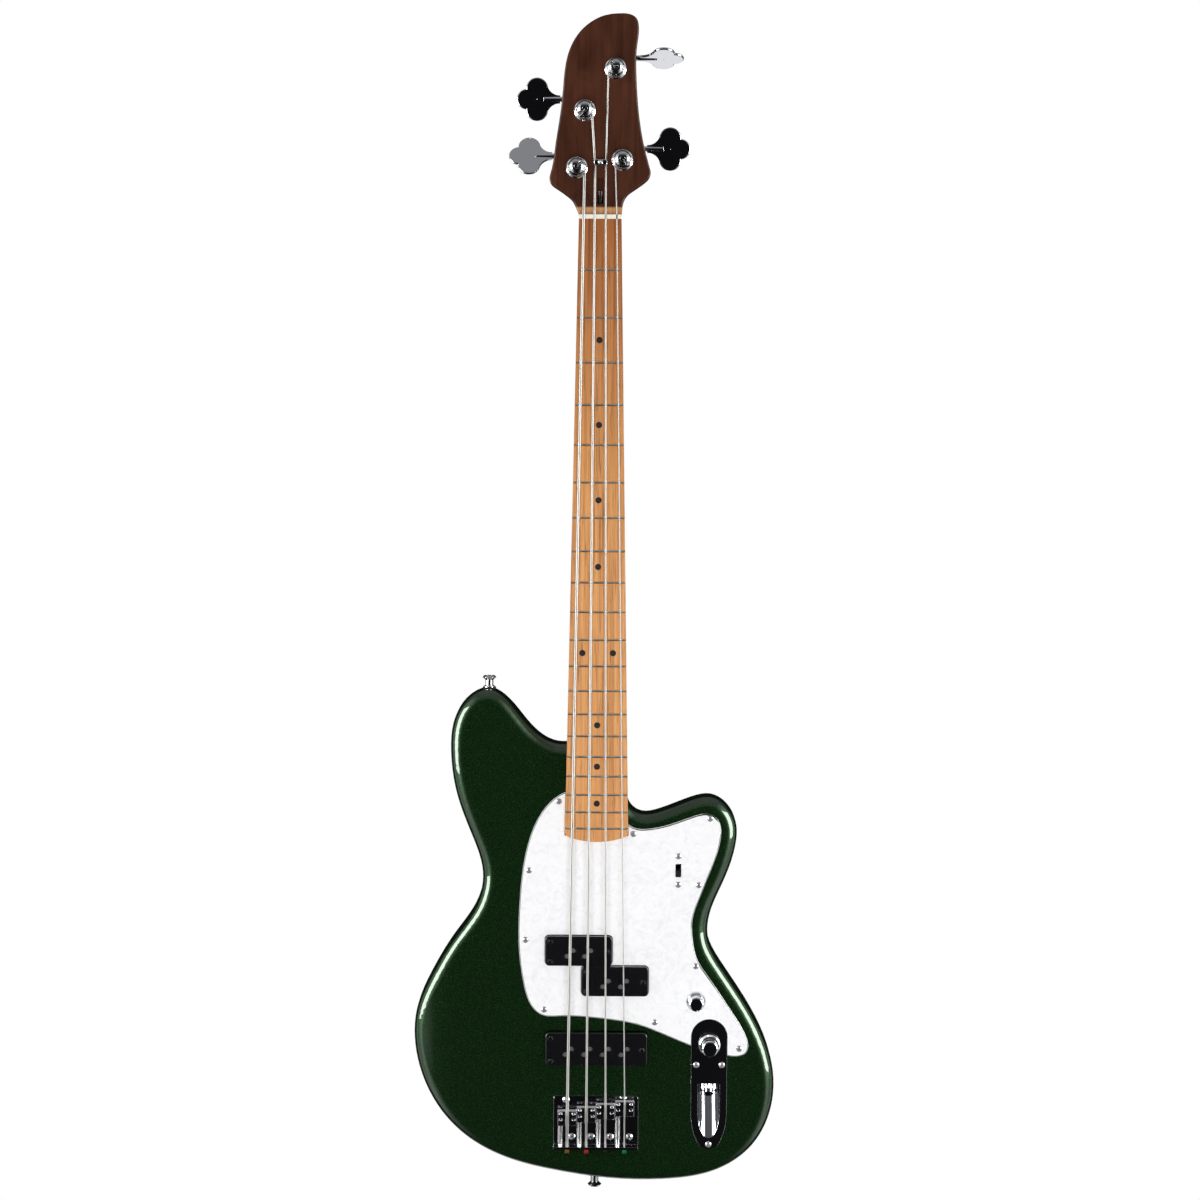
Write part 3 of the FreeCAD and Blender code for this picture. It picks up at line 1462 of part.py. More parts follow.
# Slide switch
def make_switch():
    x, z = size.switch_x, size.switch_height
    half = size.switch_width / 2
    body = new_body("slide_switch")
    sketch = sketch_on(body, FRONT, level.body_front - size.switch_depth)
    rectangle(sketch, x - half, x + half, z - size.switch_length / 2, z + size.switch_length / 2)
    pad(body, sketch, size.switch_depth)
    sketch = sketch_on(body, FRONT, level.body_front - size.switch_flange_thickness)
    rectangle(sketch, x - half, x + half, z - size.switch_flange_reach, z + size.switch_flange_reach)
    pad(body, sketch, size.switch_flange_thickness)
    inner = half - size.switch_wall
    inner_along = size.switch_length / 2 - size.switch_wall
    sketch = sketch_on(body, FRONT, level.body_front - size.switch_depth)
    rectangle(sketch, x - inner, x + inner, z - inner_along, z + inner_along)
    pocket(body, sketch, size.switch_depth - size.switch_roof, reverse=True)
    slot = size.switch_slot_width / 2
    slot_along = size.switch_slot_length / 2
    sketch = sketch_on(body, FRONT, level.body_front)
    rectangle(sketch, x - slot, x + slot, z - slot_along, z + slot_along)
    pocket(body, sketch, size.switch_depth)
    drill(body, switch_screw_places(), size.plate_screw_shank + size.hole_gap, level.body_front,
          size.switch_flange_thickness)
    keep(body, "slide_switch")
    lever = new_body("slide_switch_lever")
    rest = z - (size.switch_slot_length - size.lever_length) / 2 + size.lever_gap / 2
    roof = level.body_front - size.switch_roof - size.lever_gap
    wide = size.lever_width / 2
    tall = size.lever_length / 2
    sketch = sketch_on(lever, FRONT, roof - size.lever_foot_depth)
    rectangle(sketch, x - wide, x + wide, rest - tall, rest + tall)
    pad(lever, sketch, level.guard_front + size.lever_rise - roof + size.lever_foot_depth)
    sketch = sketch_on(lever, FRONT, roof - size.lever_foot_depth)
    foot_wide = wide + size.lever_foot_margin
    foot_tall = tall + size.lever_foot_margin
    rectangle(sketch, x - foot_wide, x + foot_wide, rest - foot_tall, rest + foot_tall)
    pad(lever, sketch, size.lever_foot_depth)
    keep(lever, "slide_switch_lever")


# Bridge
def saddle_centre(string):
    return size.scale_end - getattr(size, f"saddle_setback_{string}")


def make_bridge_plate():
    body = new_body("bridge_plate")
    half = size.bridge_width / 2
    left = size.bridge_shift - half
    right = size.bridge_shift + half
    sketch = sketch_on(body, FRONT, level.body_front)
    rectangle(sketch, left, right, size.bridge_bottom, size.bridge_top)
    pad(body, sketch, size.bridge_thickness)
    round_edges(body, size.bridge_corner,
                lambda edge: runs_front_to_back(edge) and edge.CenterOfMass.z > float(size.scale_end))
    sketch = sketch_on(body, FRONT, level.body_front)
    rectangle(sketch, left, right, size.bridge_bottom, size.bridge_bottom + size.lip_thickness)
    pad(body, sketch, size.lip_height)
    drill(body, bridge_screw_places(), size.bridge_screw_shank + size.hole_gap, level.bridge_front,
          size.bridge_thickness)
    sketch = sketch_on(body, LEVEL, size.bridge_bottom)
    for n, string in enumerate(STRINGS):
        x = string_x_at_bridge(n)
        string_hole = string_diameter(string) / 2 + size.lip_hole_gap
        disc(sketch, x, -level.body_front - size.lip_hole_level, string_hole)
        disc(sketch, x - size.intonation_shift, -level.body_front - size.intonation_level,
             size.intonation_screw_shank + size.hole_gap)
    pocket(body, sketch, size.lip_thickness, reverse=True)
    keep(body, "bridge_plate")
    bolt = screw("bridge_screw_pattern", size.bridge_screw_head, size.bridge_screw_head_height,
                 size.bridge_screw_shank, size.bridge_screw_length)
    seats = [spot(x, level.bridge_front, z) for x, z in bridge_screw_places()]
    group("bridge_screws", [(bolt, seat, TO_FRONT) for seat in seats])


def make_saddle(n, string):
    """A block on two height screws, grooved for its string, with two recesses and an intonation thread."""
    label = f"saddle_{string}"
    body = new_body(f"{label}_block")
    x = string_x_at_bridge(n)
    middle = saddle_centre(string)
    low = level.bridge_front + size.saddle_lift
    groove = string_under_saddle(n) - size.saddle_clearance
    high = groove + size.saddle_side_rise
    half = size.saddle_length / 2
    sketch = sketch_on(body, SIDE, x)
    polygon(sketch, [
        (-low, middle - half), (-low, middle + half), (size.saddle_front_drop - high, middle + half),
        (-high, middle + size.saddle_front_land), (-high, middle + size.saddle_break),
        (size.saddle_rear_drop - high, middle - half)])
    pad(body, sketch, size.saddle_width, both=True)
    sketch = sketch_on(body, SIDE, x)
    top = -high - size.cut_overrun
    polygon(sketch, [
        (-groove, middle + half), (top, middle + half), (top, middle - half),
        (size.saddle_rear_drop - groove, middle - half), (-groove, middle + size.saddle_break)])
    pocket(body, sketch, string_diameter(string) + 2 * size.string_gap, both=True)
    forward = middle + size.height_screw_forward
    screws = [(x + k * size.height_screw_spread, forward) for k in (-1, 1)]
    drill(body, screws, size.height_screw_radius + size.running_gap, high, size.lip_height)
    recesses = [(screw_x, middle - size.saddle_recess_back) for screw_x, _ in screws]
    drill(body, recesses, size.saddle_recess_radius, high, size.saddle_recess_depth)
    sketch = sketch_on(body, LEVEL, middle - half)
    disc(sketch, x - size.intonation_shift, -level.body_front - size.intonation_level,
         size.intonation_screw_shank + size.running_gap)
    pocket(body, sketch, size.saddle_thread_depth, reverse=True)
    grub_low = level.bridge_front + size.seat_gap
    grub_high = groove - size.saddle_front_drop / 2
    socket_share = 0.5
    socket = socket_share * size.height_screw_radius
    grub = turned(f"{label}_height_screw_pattern", [
        (length(0), grub_low), (size.height_screw_radius, grub_low), (size.height_screw_radius, grub_high),
        (socket, grub_high), (socket, grub_high - size.height_screw_radius),
        (length(0), grub_high - size.height_screw_radius)])
    group(label, [(body, spot(0, 0, 0), TO_TOP)] + [(grub, spot(sx, 0, sz), TO_FRONT) for sx, sz in screws])


def make_intonation_screws():
    members = []
    seat = size.bridge_bottom
    front = level.body_front + size.intonation_level
    for n, string in enumerate(STRINGS):
        tip = saddle_centre(string) - size.saddle_length / 2 + size.intonation_engage
        master = screw(f"intonation_screw_{string}_pattern", size.intonation_screw_head,
                       size.intonation_screw_head_height, size.intonation_screw_shank, tip - seat)
        members.append((master, spot(string_x_at_bridge(n) - size.intonation_shift, front, seat), TO_TAIL))
    group("intonation_screws", members)


# Wound and bent wire: a path is a list of (point, direction) nodes. Two unit directions count as the
# same when their product is above this.
SAME_WAY = 1 - 1e-9


def arc_between(start, corner, end):
    """The arc from start to end whose end tangents meet at corner."""
    middle = (start + end) / 2
    half = (end - start).Length / 2
    tangent = (corner - middle).Length / half
    bend = math.tan(math.atan(tangent) / 2) / tangent
    return Part.Arc(start, middle + (corner - middle) * bend, end)


def biarc(start, start_direction, end, end_direction):
    """Two arcs that leave start and reach end along the given directions."""
    reach = end - start
    both = start_direction + end_direction
    spread = 2 * (1 - start_direction.dot(end_direction))
    forward = reach.dot(both)
    step = (math.sqrt(forward * forward + spread * reach.dot(reach)) - forward) / spread
    first = start + start_direction * step
    last = end - end_direction * step
    joint = (first + last) / 2
    return [arc_between(start, first, joint), arc_between(joint, last, end)]


def path_edges(nodes):
    edges = []
    for (start, direction), (end, next_direction) in zip(nodes, nodes[1:]):
        if direction.dot(next_direction) > SAME_WAY:
            edges.append(Part.LineSegment(start, end))
        else:
            edges += biarc(start, direction, end, next_direction)
    return [edge.toShape() for edge in edges]


def tube(nodes, radius, label):
    """A round wire along a path, with its volume set against its section times its length."""
    path = Part.Wire(path_edges(nodes))
    ring = Part.Wire(Part.Circle(nodes[0][0], nodes[0][1], radius).toShape())
    sweep = Part.BRepOffsetAPI.MakePipeShell(path)
    sweep.add(ring)
    sweep.build()
    sweep.makeSolid()
    solid = sweep.shape()
    ratio = solid.Volume / (math.pi * radius * radius * path.Length)
    print(f"{label}: length {path.Length:.1f} mm, volume ratio {ratio:.4f}, valid {solid.isValid()}")
    return solid


def helix_nodes(centre, axis, start, sense, radius, pitch, turns, first=0.0):
    """Quarter-turn nodes of a helix about an axis, from a start direction square to that axis."""
    side = axis.cross(start)
    count = max(1, math.ceil((turns - first) * 4))
    nodes = []
    for n in range(count + 1):
        turn = first + (turns - first) * n / count
        angle = sense * 2 * math.pi * turn
        out = start * math.cos(angle) + side * math.sin(angle)
        around = side * math.cos(angle) - start * math.sin(angle)
        climb = around * (sense * 2 * math.pi * radius) + axis * pitch
        nodes.append((centre + out * radius + axis * (pitch * turn), climb.normalize()))
    return nodes


def least_turn_gap(radius, pitch, turns, wire):
    """The least gap between points of a winding that are half a turn or more apart."""
    steps = 48
    points = []
    for n in range(int(turns * steps) + 1):
        angle = 2 * math.pi * n / steps
        points.append(vec(radius * math.cos(angle), radius * math.sin(angle), pitch * n / steps))
    gaps = [
        (points[a] - points[b]).Length - wire
        for a in range(len(points)) for b in range(a + steps // 2, len(points))]
    return min(gaps)


def make_saddle_spring(n, string):
    label = f"saddle_spring_{string}"
    wire = float(size.spring_wire)
    low = float(size.bridge_bottom + size.lip_thickness + size.spring_end_gap) + wire / 2
    high = float(saddle_centre(string) - size.saddle_length / 2 - size.spring_end_gap) - wire / 2
    turns = round((high - low) / float(size.spring_pitch))
    pitch = (high - low) / turns
    radius = float(size.spring_radius)
    front = level.body_front + size.intonation_level
    centre = spot(string_x_at_bridge(n) - size.intonation_shift, front, low)
    nodes = helix_nodes(centre, UP, ACROSS, 1, radius, pitch, turns)
    feature = doc.addObject("Part::Feature", label)
    feature.Shape = tube(nodes, wire / 2, label)
    print(f"{label}: {turns} turns, least gap {least_turn_gap(radius, pitch, turns, wire):.2f} mm")
    keep(feature, label)


# Tuners
def bushing_and_base():
    bore = size.post_journal + size.running_gap
    brim_share = 0.88
    bushing = turned("tuner_bushing_pattern", [
        (bore, level.head_back), (size.bushing_sleeve, level.head_back),
        (size.bushing_sleeve, level.head_front), (size.bushing_flange, level.head_front),
        (size.bushing_flange, level.head_front + size.bushing_flange_height / 2),
        (brim_share * size.bushing_flange, level.head_front + size.bushing_flange_height),
        (bore, level.head_front + size.bushing_flange_height)])
    base = new_body("tuner_base_pattern")
    back = level.head_back - size.base_thickness
    half = size.base_width / 2
    sketch = sketch_on(base, FRONT, back)
    rectangle(sketch, -half, half, -size.base_below, size.base_above)
    pad(base, sketch, size.base_thickness)
    round_edges(base, size.base_corner, runs_front_to_back)
    distance = size.gear_radius + size.worm_radius
    ear_back = level.worm - size.ear_reach
    sketch = sketch_on(base, FRONT, ear_back)
    for inner, outer in ((size.ear_inside, size.ear_inside + size.ear_thickness),
                         (-size.ear_inside - size.ear_thickness, -size.ear_inside)):
        rectangle(sketch, inner, outer, distance - size.ear_height / 2, distance + size.ear_height / 2)
    pad(base, sketch, back - ear_back + size.base_thickness / 2)
    sketch = sketch_on(base, SIDE, 0)
    disc(sketch, -level.worm, distance, size.worm_journal + size.running_gap)
    pocket(base, sketch, 2 * size.base_width, both=True)
    drill(base, [(length(0), length(0))], size.post_journal + size.hole_gap, level.head_back,
          size.base_thickness)
    across = half - size.base_screw_inset
    low = size.base_screw_inset - size.base_below
    high = size.base_above - size.base_screw_inset
    drill(base, [(i * across, z) for i in (-1, 1) for z in (low, high)],
          size.tuner_screw_shank + size.hole_gap, level.head_back, size.base_thickness)
    return bushing, base


def gear_outline():
    """Straight-flanked teeth with a gap facing the worm."""
    pitch = 2 * math.pi / GEAR_TEETH
    root = float(size.gear_radius - size.gear_root)
    tip = float(size.gear_radius + size.gear_tooth)
    root_share, tip_share = 0.24, 0.11
    points = []
    for tooth in range(GEAR_TEETH):
        middle = math.pi / 2 + (tooth + 0.5) * pitch
        for radius, offset in ((root, -root_share), (tip, -tip_share), (tip, tip_share), (root, root_share)):
            angle = middle + offset * pitch
            points.append(vec(radius * math.cos(angle), radius * math.sin(angle)))
    return chain(points + points[:1])


def post_winding(string):
    """Where a string's winding lies on its post: radius, lowest front distance, pitch and turns."""
    diameter = string_diameter(string)
    turns = WINDING_TURNS[string]
    pitch = diameter + size.winding_gap
    barrel_low = level.head_front + size.bushing_flange_height + size.post_shoulder
    top = barrel_low + size.post_barrel_height - diameter / 2 - size.winding_top_gap
    radius = size.post_barrel + diameter / 2 + size.string_gap
    return radius, top - turns * pitch, pitch, turns


# Angle in which the end of a winding turns into its slot, and how far the slot widens under the cap
ENTRY_TURN = 40.0
SLOT_FLARE = 3.7


def slot_angle(string):
    """The direction of a post's slot, where the end of the winding turns inwards."""
    side = KEY_SIDE[string]
    start = 0 if side < 0 else 180
    return start - side * (360 * WINDING_TURNS[string] + ENTRY_TURN)


def make_post(string):
    label = f"tuner_post_{string}"
    shoulder = level.head_front + size.bushing_flange_height + size.post_shoulder
    barrel_top = shoulder + size.post_barrel_height
    cap_top = barrel_top + size.post_cap_height
    gear_front = level.worm + size.gear_thickness / 2
    gear_back = level.worm - size.gear_thickness / 2
    rim_top = barrel_top + size.post_rim_height
    rim_share = 0.94
    crown_shares = [(1.0, 0.0), (0.94, 0.36), (0.82, 0.66), (0.64, 0.88), (0.42, 1.0)]
    crown_height = cap_top - rim_top
    crown = [(radius * size.post_cap, rim_top + rise * crown_height) for radius, rise in crown_shares]
    post = turned(label, [
        (length(0), gear_back), (size.post_stub, gear_back), (size.post_stub, gear_front),
        (size.post_journal, gear_front), (size.post_journal, shoulder), (size.post_barrel, shoulder),
        (size.post_barrel, barrel_top), (rim_share * size.post_rim, barrel_top),
        (size.post_rim, barrel_top + size.post_rim_height / 2), (rim_share * size.post_rim, rim_top),
        *crown, (length(0), cap_top)])
    sketch = sketch_on(post, LEVEL, gear_back)
    sketch.addGeometry(gear_outline(), False)
    pad(post, sketch, size.gear_thickness)
    radius, low, pitch, turns = post_winding(string)
    slot_floor = low + turns * pitch - string_diameter(string) / 2 - size.string_gap
    angle = math.radians(slot_angle(string))
    along = FreeCAD.Vector(math.cos(angle), math.sin(angle), 0)
    across = FreeCAD.Vector(-math.sin(angle), math.cos(angle), 0)
    reach = along * float(size.post_rim + size.cut_overrun)
    half = across * float(size.post_slot_width / 2)
    flare = half * SLOT_FLARE
    slots = [(cap_top, [half * -1, reach - half, reach + half, half]),
             (barrel_top, [half * -1, reach - flare, reach + flare, half])]
    for top, corners in slots:
        sketch = sketch_on(post, LEVEL, top)
        sketch.addGeometry(chain(corners + corners[:1]), False)
        pocket(post, sketch, top - slot_floor)
    sketch = sketch_on(post, LEVEL, cap_top)
    disc(sketch, length(0), length(0), size.post_hole_radius)
    pocket(post, sketch, cap_top - shoulder)
    x, z = post_place(string)
    place(post, x, length(0), z, TO_FRONT)
    keep(post, label)


def worm_solid():
    """A worm about the X axis: one thread on a core, with its crest facing the gear at x = 0."""
    lead = 2 * math.pi * float(size.gear_radius) / GEAR_TEETH
    reach = float(size.ear_inside - size.worm_end_gap)
    core = Part.makeCylinder(float(size.worm_core), 2 * reach, vec(-reach, 0), ACROSS)
    sunk_share, root_share, crest_share = 0.9, 0.25, 0.12
    root = sunk_share * float(size.worm_core)
    crest = float(size.worm_radius + size.gear_tooth)
    turns = math.floor(2 * (reach - root_share * lead) / lead)
    half_span = turns * lead / 2
    helix = Part.makeHelix(lead, turns * lead, root)
    section = Part.makePolygon([
        vec(root, 0, -root_share * lead), vec(crest, 0, -crest_share * lead),
        vec(crest, 0, crest_share * lead), vec(root, 0, root_share * lead),
        vec(root, 0, -root_share * lead)])
    sweep = Part.BRepOffsetAPI.MakePipeShell(Part.Wire(helix.Edges))
    sweep.setFrenetMode(True)
    sweep.add(section)
    sweep.build()
    sweep.makeSolid()
    thread = sweep.shape()
    thread.translate(vec(0, 0, -half_span))
    thread.rotate(vec(0, 0), UP, 360 * (turns / 2 - turns // 2))
    thread.rotate(vec(0, 0), FreeCAD.Vector(0, 1, 0), 90)
    return core.fuse(thread)


def clover_leaf():
    """Two side lobes and a tip lobe with rounded rims, drawn in to the shaft by a web, along +X."""
    line = float(size.key_lobe_line)
    lobe = float(size.key_lobe_radius)
    spread = float(size.key_lobe_spread)
    tip = float(size.key_tip_radius)
    thick = float(size.key_thickness)
    edge_share, hollow_share, web_angle = 0.42, 0.42, math.radians(174)
    lobes = []
    tip_line = line + float(size.key_tip_reach)
    for x, y, radius in ((line, spread, lobe), (line, -spread, lobe), (tip_line, 0, tip)):
        plate = Part.makeCylinder(radius, thick, vec(x, y, -thick / 2))
        rims = [edge for edge in plate.Edges if edge.BoundBox.ZLength < thick / 2]
        lobes.append(plate.makeFillet(edge_share * thick, rims))
    fall = vec(line + lobe * math.cos(web_angle), spread + lobe * math.sin(web_angle))
    root = vec(size.key_root, size.key_waist)
    hollow = (root + fall) / 2 + vec(1, -1) * (hollow_share * float(size.key_waist))

    def flip(point):
        return vec(point.x, -point.y)

    outline = [
        Part.Arc(fall, hollow, root), Part.LineSegment(root, flip(root)),
        Part.Arc(flip(root), flip(hollow), flip(fall)),
        *chain([flip(fall), vec(line, -spread), vec(line, spread), fall])]
    web = Part.Face(Part.Wire([curve.toShape() for curve in outline])).extrude(vec(0, 0, thick))
    web.translate(vec(0, 0, -thick / 2))
    return web.multiFuse(lobes)


def key_solid():
    """A clover key on its worm shaft, along +X from the middle of the worm."""
    worm = worm_solid()
    inner = float(size.ear_inside + size.ear_thickness + size.worm_stub)
    outer = float(size.key_root)
    journal = Part.makeCylinder(float(size.worm_journal), inner + outer, vec(-inner, 0), ACROSS)
    clear = float(size.ear_inside + size.ear_thickness + size.worm_end_gap)
    shaft = Part.makeCone(float(size.key_shaft_radius), float(size.key_neck_radius), outer - clear,
                          vec(clear, 0), ACROSS)
    boss = Part.makeCone(float(size.key_neck_radius), float(size.key_boss_radius),
                         float(size.key_boss_end) - outer, vec(outer, 0), ACROSS)
    leaf = clover_leaf()
    leaf.rotate(vec(0, 0), ACROSS, 90)
    return worm.multiFuse([journal, shaft, boss]), leaf


def make_keys():
    shaft, leaf = key_solid()
    distance = size.gear_radius + size.worm_radius
    for string in STRINGS:
        label = f"tuner_key_{string}"
        turned_leaf = leaf.copy()
        turned_leaf.rotate(vec(0, 0), ACROSS, KEY_TURN[string] - worm_phase(string))
        key = shaft.fuse(turned_leaf).removeSplitter()
        x, z = post_place(string)
        flip = FreeCAD.Rotation(FORWARD, 180) if KEY_SIDE[string] < 0 else FreeCAD.Rotation()
        feature = doc.addObject("Part::Feature", label)
        feature.Shape = key.Solids[0]
        turn = flip.multiply(FreeCAD.Rotation(ACROSS, worm_phase(string)))
        feature.Placement = FreeCAD.Placement(spot(x, level.worm, z + distance), turn)
        keep(feature, label)


def worm_phase(string):
    """Turns the worm so that its crest meets the gear's gap below it."""
    return 0.0 if KEY_SIDE[string] > 0 else 180.0


def make_tuners():
    bushing, base = bushing_and_base()
    spots = [spot(x, 0, z) for x, z in map(post_place, STRINGS)]
    group("tuner_bushings", [(bushing, point, TO_FRONT) for point in spots])
    group("tuner_base_plates", [(base, point, TO_TOP) for point in spots])
    small = screw("tuner_screw_pattern", size.tuner_screw_head, size.tuner_screw_head_height,
                  size.tuner_screw_shank, size.tuner_screw_length)
    tall = screw("retainer_screw_pattern", size.tuner_screw_head, size.tuner_screw_head_height,
                 size.tuner_screw_shank, size.retainer_screw_length)
    seat = level.head_back - size.base_thickness
    members = [
        (small, spot(x, seat, z), TO_BACK) for string in STRINGS for x, z in base_screw_places(string)]
    retainer_top = level.head_front + size.retainer_level + size.retainer_thickness
    members.append((tall, spot(0, retainer_top, nut_height + size.retainer_height), TO_FRONT))
    group("headstock_screws", members)
    for string in STRINGS:
        make_post(string)
    make_keys()


def make_string_retainer():
    body = new_body("string_retainer")
    height = nut_height + size.retainer_height
    low = level.head_front + size.retainer_level
    half = size.retainer_length / 2
    along = size.retainer_width / 2
    sketch = sketch_on(body, FRONT, low)
    rectangle(sketch, -half, half, height - along, height + along)
    pad(body, sketch, size.retainer_thickness)
    corner_share = 0.9
    round_edges(body, corner_share * along, runs_front_to_back)
    round_edges(body, size.retainer_round, lies_at(low + size.retainer_thickness))
    sketch = sketch_on(body, FRONT, level.head_front)
    disc(sketch, length(0), height, size.retainer_post)
    pad(body, sketch, size.retainer_level + size.retainer_thickness / 2)
    drill(body, [(length(0), height)], size.tuner_screw_shank + size.hole_gap,
          low + size.retainer_thickness, size.retainer_level + size.retainer_thickness)
    keep(body, "string_retainer")


# Strings
def rounded_nodes(points, radii):
    """Path nodes along straight runs whose inner corners are rounded to the given radii."""
    nodes = [(points[0], (points[1] - points[0]).normalize())]
    for before, corner, after, radius in zip(points, points[1:], points[2:], radii):
        into = (corner - before).normalize()
        out = (after - corner).normalize()
        setback = radius * math.tan(into.getAngle(out) / 2)
        nodes += [(corner - into * setback, into), (corner + out * setback, out)]
    nodes.append((points[-1], (points[-1] - points[-2]).normalize()))
    return nodes


def string_nodes(n, string):
    """From the ball end over saddle and nut, round the post, through its slot and down its hole."""
    diameter = float(string_diameter(string))
    x_bridge, x_nut = string_x_at_bridge(n), string_x_at_nut(n)
    start = spot(x_bridge, level.body_front + size.lip_hole_level, size.bridge_bottom - size.seat_gap)
    saddle = spot(x_bridge, string_under_saddle(n) + diameter / 2, saddle_centre(string) + size.saddle_break)
    nut = spot(x_nut, string_under_nut(n) + diameter / 2, nut_height + size.nut_thickness)
    points = [start, saddle, nut]
    radii = [float(size.saddle_bend), float(size.nut_bend)]
    if string in ("a", "d"):
        side = -1 if string == "a" else 1
        under = level.head_front + size.retainer_level - diameter / 2 - size.string_gap
        near_edge = nut_height + size.retainer_height - size.retainer_width / 2
        points.append(spot(side * size.retainer_string_spread, under, near_edge))
        radii.append(float(size.retainer_bend))
    radius, low, pitch, turns = (float(amount) for amount in post_winding(string))
    x, z = post_place(string)
    out = ACROSS * -KEY_SIDE[string]
    approach = float(size.post_cap)
    lead_in_share = 0.125
    points.append(spot(x, low, z) + out * radius - UP * approach)
    nodes = rounded_nodes(points, radii)
    nodes += helix_nodes(spot(x, low, z), FORWARD, out, -KEY_SIDE[string], radius, pitch, turns,
                         lead_in_share)
    angle = math.radians(slot_angle(string))
    inwards = FreeCAD.Vector(-math.cos(angle), 0, -math.sin(angle))
    top = low + turns * pitch
    bend = diameter
    centre = spot(x, top, z)
    entry_share = 0.6
    nodes.append((centre - inwards * (entry_share * float(size.post_barrel)), inwards))
    nodes.append((centre - inwards * bend, inwards))
    nodes.append((centre - FORWARD * bend, FORWARD * -1))
    nodes.append((centre - FORWARD * (bend + diameter), FORWARD * -1))
    return nodes


def make_strings():
    for n, string in enumerate(STRINGS):
        label = f"string_{string}"
        diameter = float(string_diameter(string))
        feature = doc.addObject("Part::Feature", label)
        feature.Shape = tube(string_nodes(n, string), diameter / 2, label)
        radius, low, pitch, turns = post_winding(string)
        gap = least_turn_gap(float(radius), float(pitch), turns, diameter)
        print(f"{label}: {turns} turns on its post, least gap {gap:.2f} mm")
        keep(feature, label)
    half = size.ball_width / 2
    waist_share = 0.8
    ball = turned("ball_end_pattern", [
        (size.ball_bore, -half), (size.ball_radius, -half), (waist_share * size.ball_radius, length(0)),
        (size.ball_radius, half), (size.ball_bore, half)])
    height = size.bridge_bottom - size.ball_radius - size.ball_gap
    front = level.body_front + size.lip_hole_level
    across = FreeCAD.Rotation(UP, ACROSS)
    places = [spot(string_x_at_bridge(n), front, height) for n in range(len(STRINGS))]
    group("string_ball_ends", [(ball, point, across) for point in places])


# Strap buttons
def make_strap_buttons():
    tall = size.strap_button_height
    waist_low_share, waist_high_share, brim_share, crown_share = 0.16, 0.62, 0.86, 0.8
    low_brim_share = 0.86
    hole = size.strap_hole_radius
    sink = size.strap_screw_head + size.hole_gap
    button = turned("strap_button_pattern", [
        (hole, length(0)), (low_brim_share * size.strap_button_radius, length(0)),
        (low_brim_share * size.strap_button_radius, waist_low_share * tall / 2),
        (size.strap_button_waist, waist_low_share * tall), (size.strap_button_waist, waist_high_share * tall),
        (size.strap_button_radius, brim_share * tall), (crown_share * size.strap_button_radius, tall),
        (sink, tall), (sink, tall - size.strap_sink), (hole, tall - size.strap_sink)])
    washer = turned("strap_washer_pattern", [
        (hole, length(0)), (size.strap_washer_radius, length(0)),
        (size.strap_washer_radius, size.strap_washer_thickness), (hole, size.strap_washer_thickness)])
    bolt = screw("strap_screw_pattern", size.strap_screw_head, size.strap_screw_head_height,
                 size.strap_screw_shank, size.strap_screw_length)
    ends = [(length(0), tail_seat, -1, TO_TAIL), (horn_x, horn_seat, 1, TO_TOP)]
    washers, buttons, screws = [], [], []
    for x, seat, way, turn in ends:
        washers.append((washer, spot(x, 0, seat), turn))
        button_seat = seat + way * size.strap_washer_thickness
        buttons.append((button, spot(x, 0, button_seat), turn))
        screws.append((bolt, spot(x, 0, button_seat + way * (tall - size.strap_sink)), turn))
    group("strap_button_washers", washers)
    group("strap_buttons", buttons)
    group("strap_button_screws", screws)


make_body()
make_neck()
make_truss_rod()
make_fretboard()
make_frets()
make_dots()
make_nut()
make_neck_joint()
make_pickguard()
make_pickups()
make_controls()
make_switch()
make_bridge_plate()
for number, string in enumerate(STRINGS):
    make_saddle(number, string)
    make_saddle_spring(number, string)
make_intonation_screws()
make_tuners()
make_string_retainer()
make_strings()
make_strap_buttons()
doc.recompute()

failed = [item.Label for item in doc.Objects if "Invalid" in item.State or "Error" in item.State]
failed += [piece.Label for piece in pieces if piece.Shape.isNull() or not piece.Shape.isValid()]
if failed:
    raise RuntimeError("pieces that did not build: " + ", ".join(failed))
os.makedirs("parts", exist_ok=True)
for piece in pieces:
    piece.Shape.exportStep(os.path.join("parts", f"{piece.Label}.step"))
print(len(pieces), "pieces written")
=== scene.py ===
import math

import bmesh
import bpy
import numpy as np
from mathutils import Matrix, Vector


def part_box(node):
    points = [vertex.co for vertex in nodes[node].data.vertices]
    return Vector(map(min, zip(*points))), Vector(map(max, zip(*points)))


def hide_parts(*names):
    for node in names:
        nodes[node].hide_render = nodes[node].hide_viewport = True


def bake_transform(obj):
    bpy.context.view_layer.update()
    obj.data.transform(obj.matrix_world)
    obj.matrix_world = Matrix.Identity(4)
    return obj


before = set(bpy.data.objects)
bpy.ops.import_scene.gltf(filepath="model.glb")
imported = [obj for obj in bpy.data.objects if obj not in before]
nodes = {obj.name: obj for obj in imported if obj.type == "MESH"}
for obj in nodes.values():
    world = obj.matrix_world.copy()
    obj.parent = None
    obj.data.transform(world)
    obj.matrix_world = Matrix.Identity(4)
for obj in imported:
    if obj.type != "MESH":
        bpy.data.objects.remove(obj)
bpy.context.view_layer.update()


# Body: one slab of wood with every edge rounded over and the bass side cut away for the forearm.
# It is sprayed dark green with a fine metal flake, then buried in a thick, polished clear coat.
GREEN_DEEP = (0.008, 0.027, 0.009)
GREEN = (0.015, 0.052, 0.0145)
GREEN_FLAKE = (0.045, 0.15, 0.034)
FLAKES_PER_METRE = 2600.0


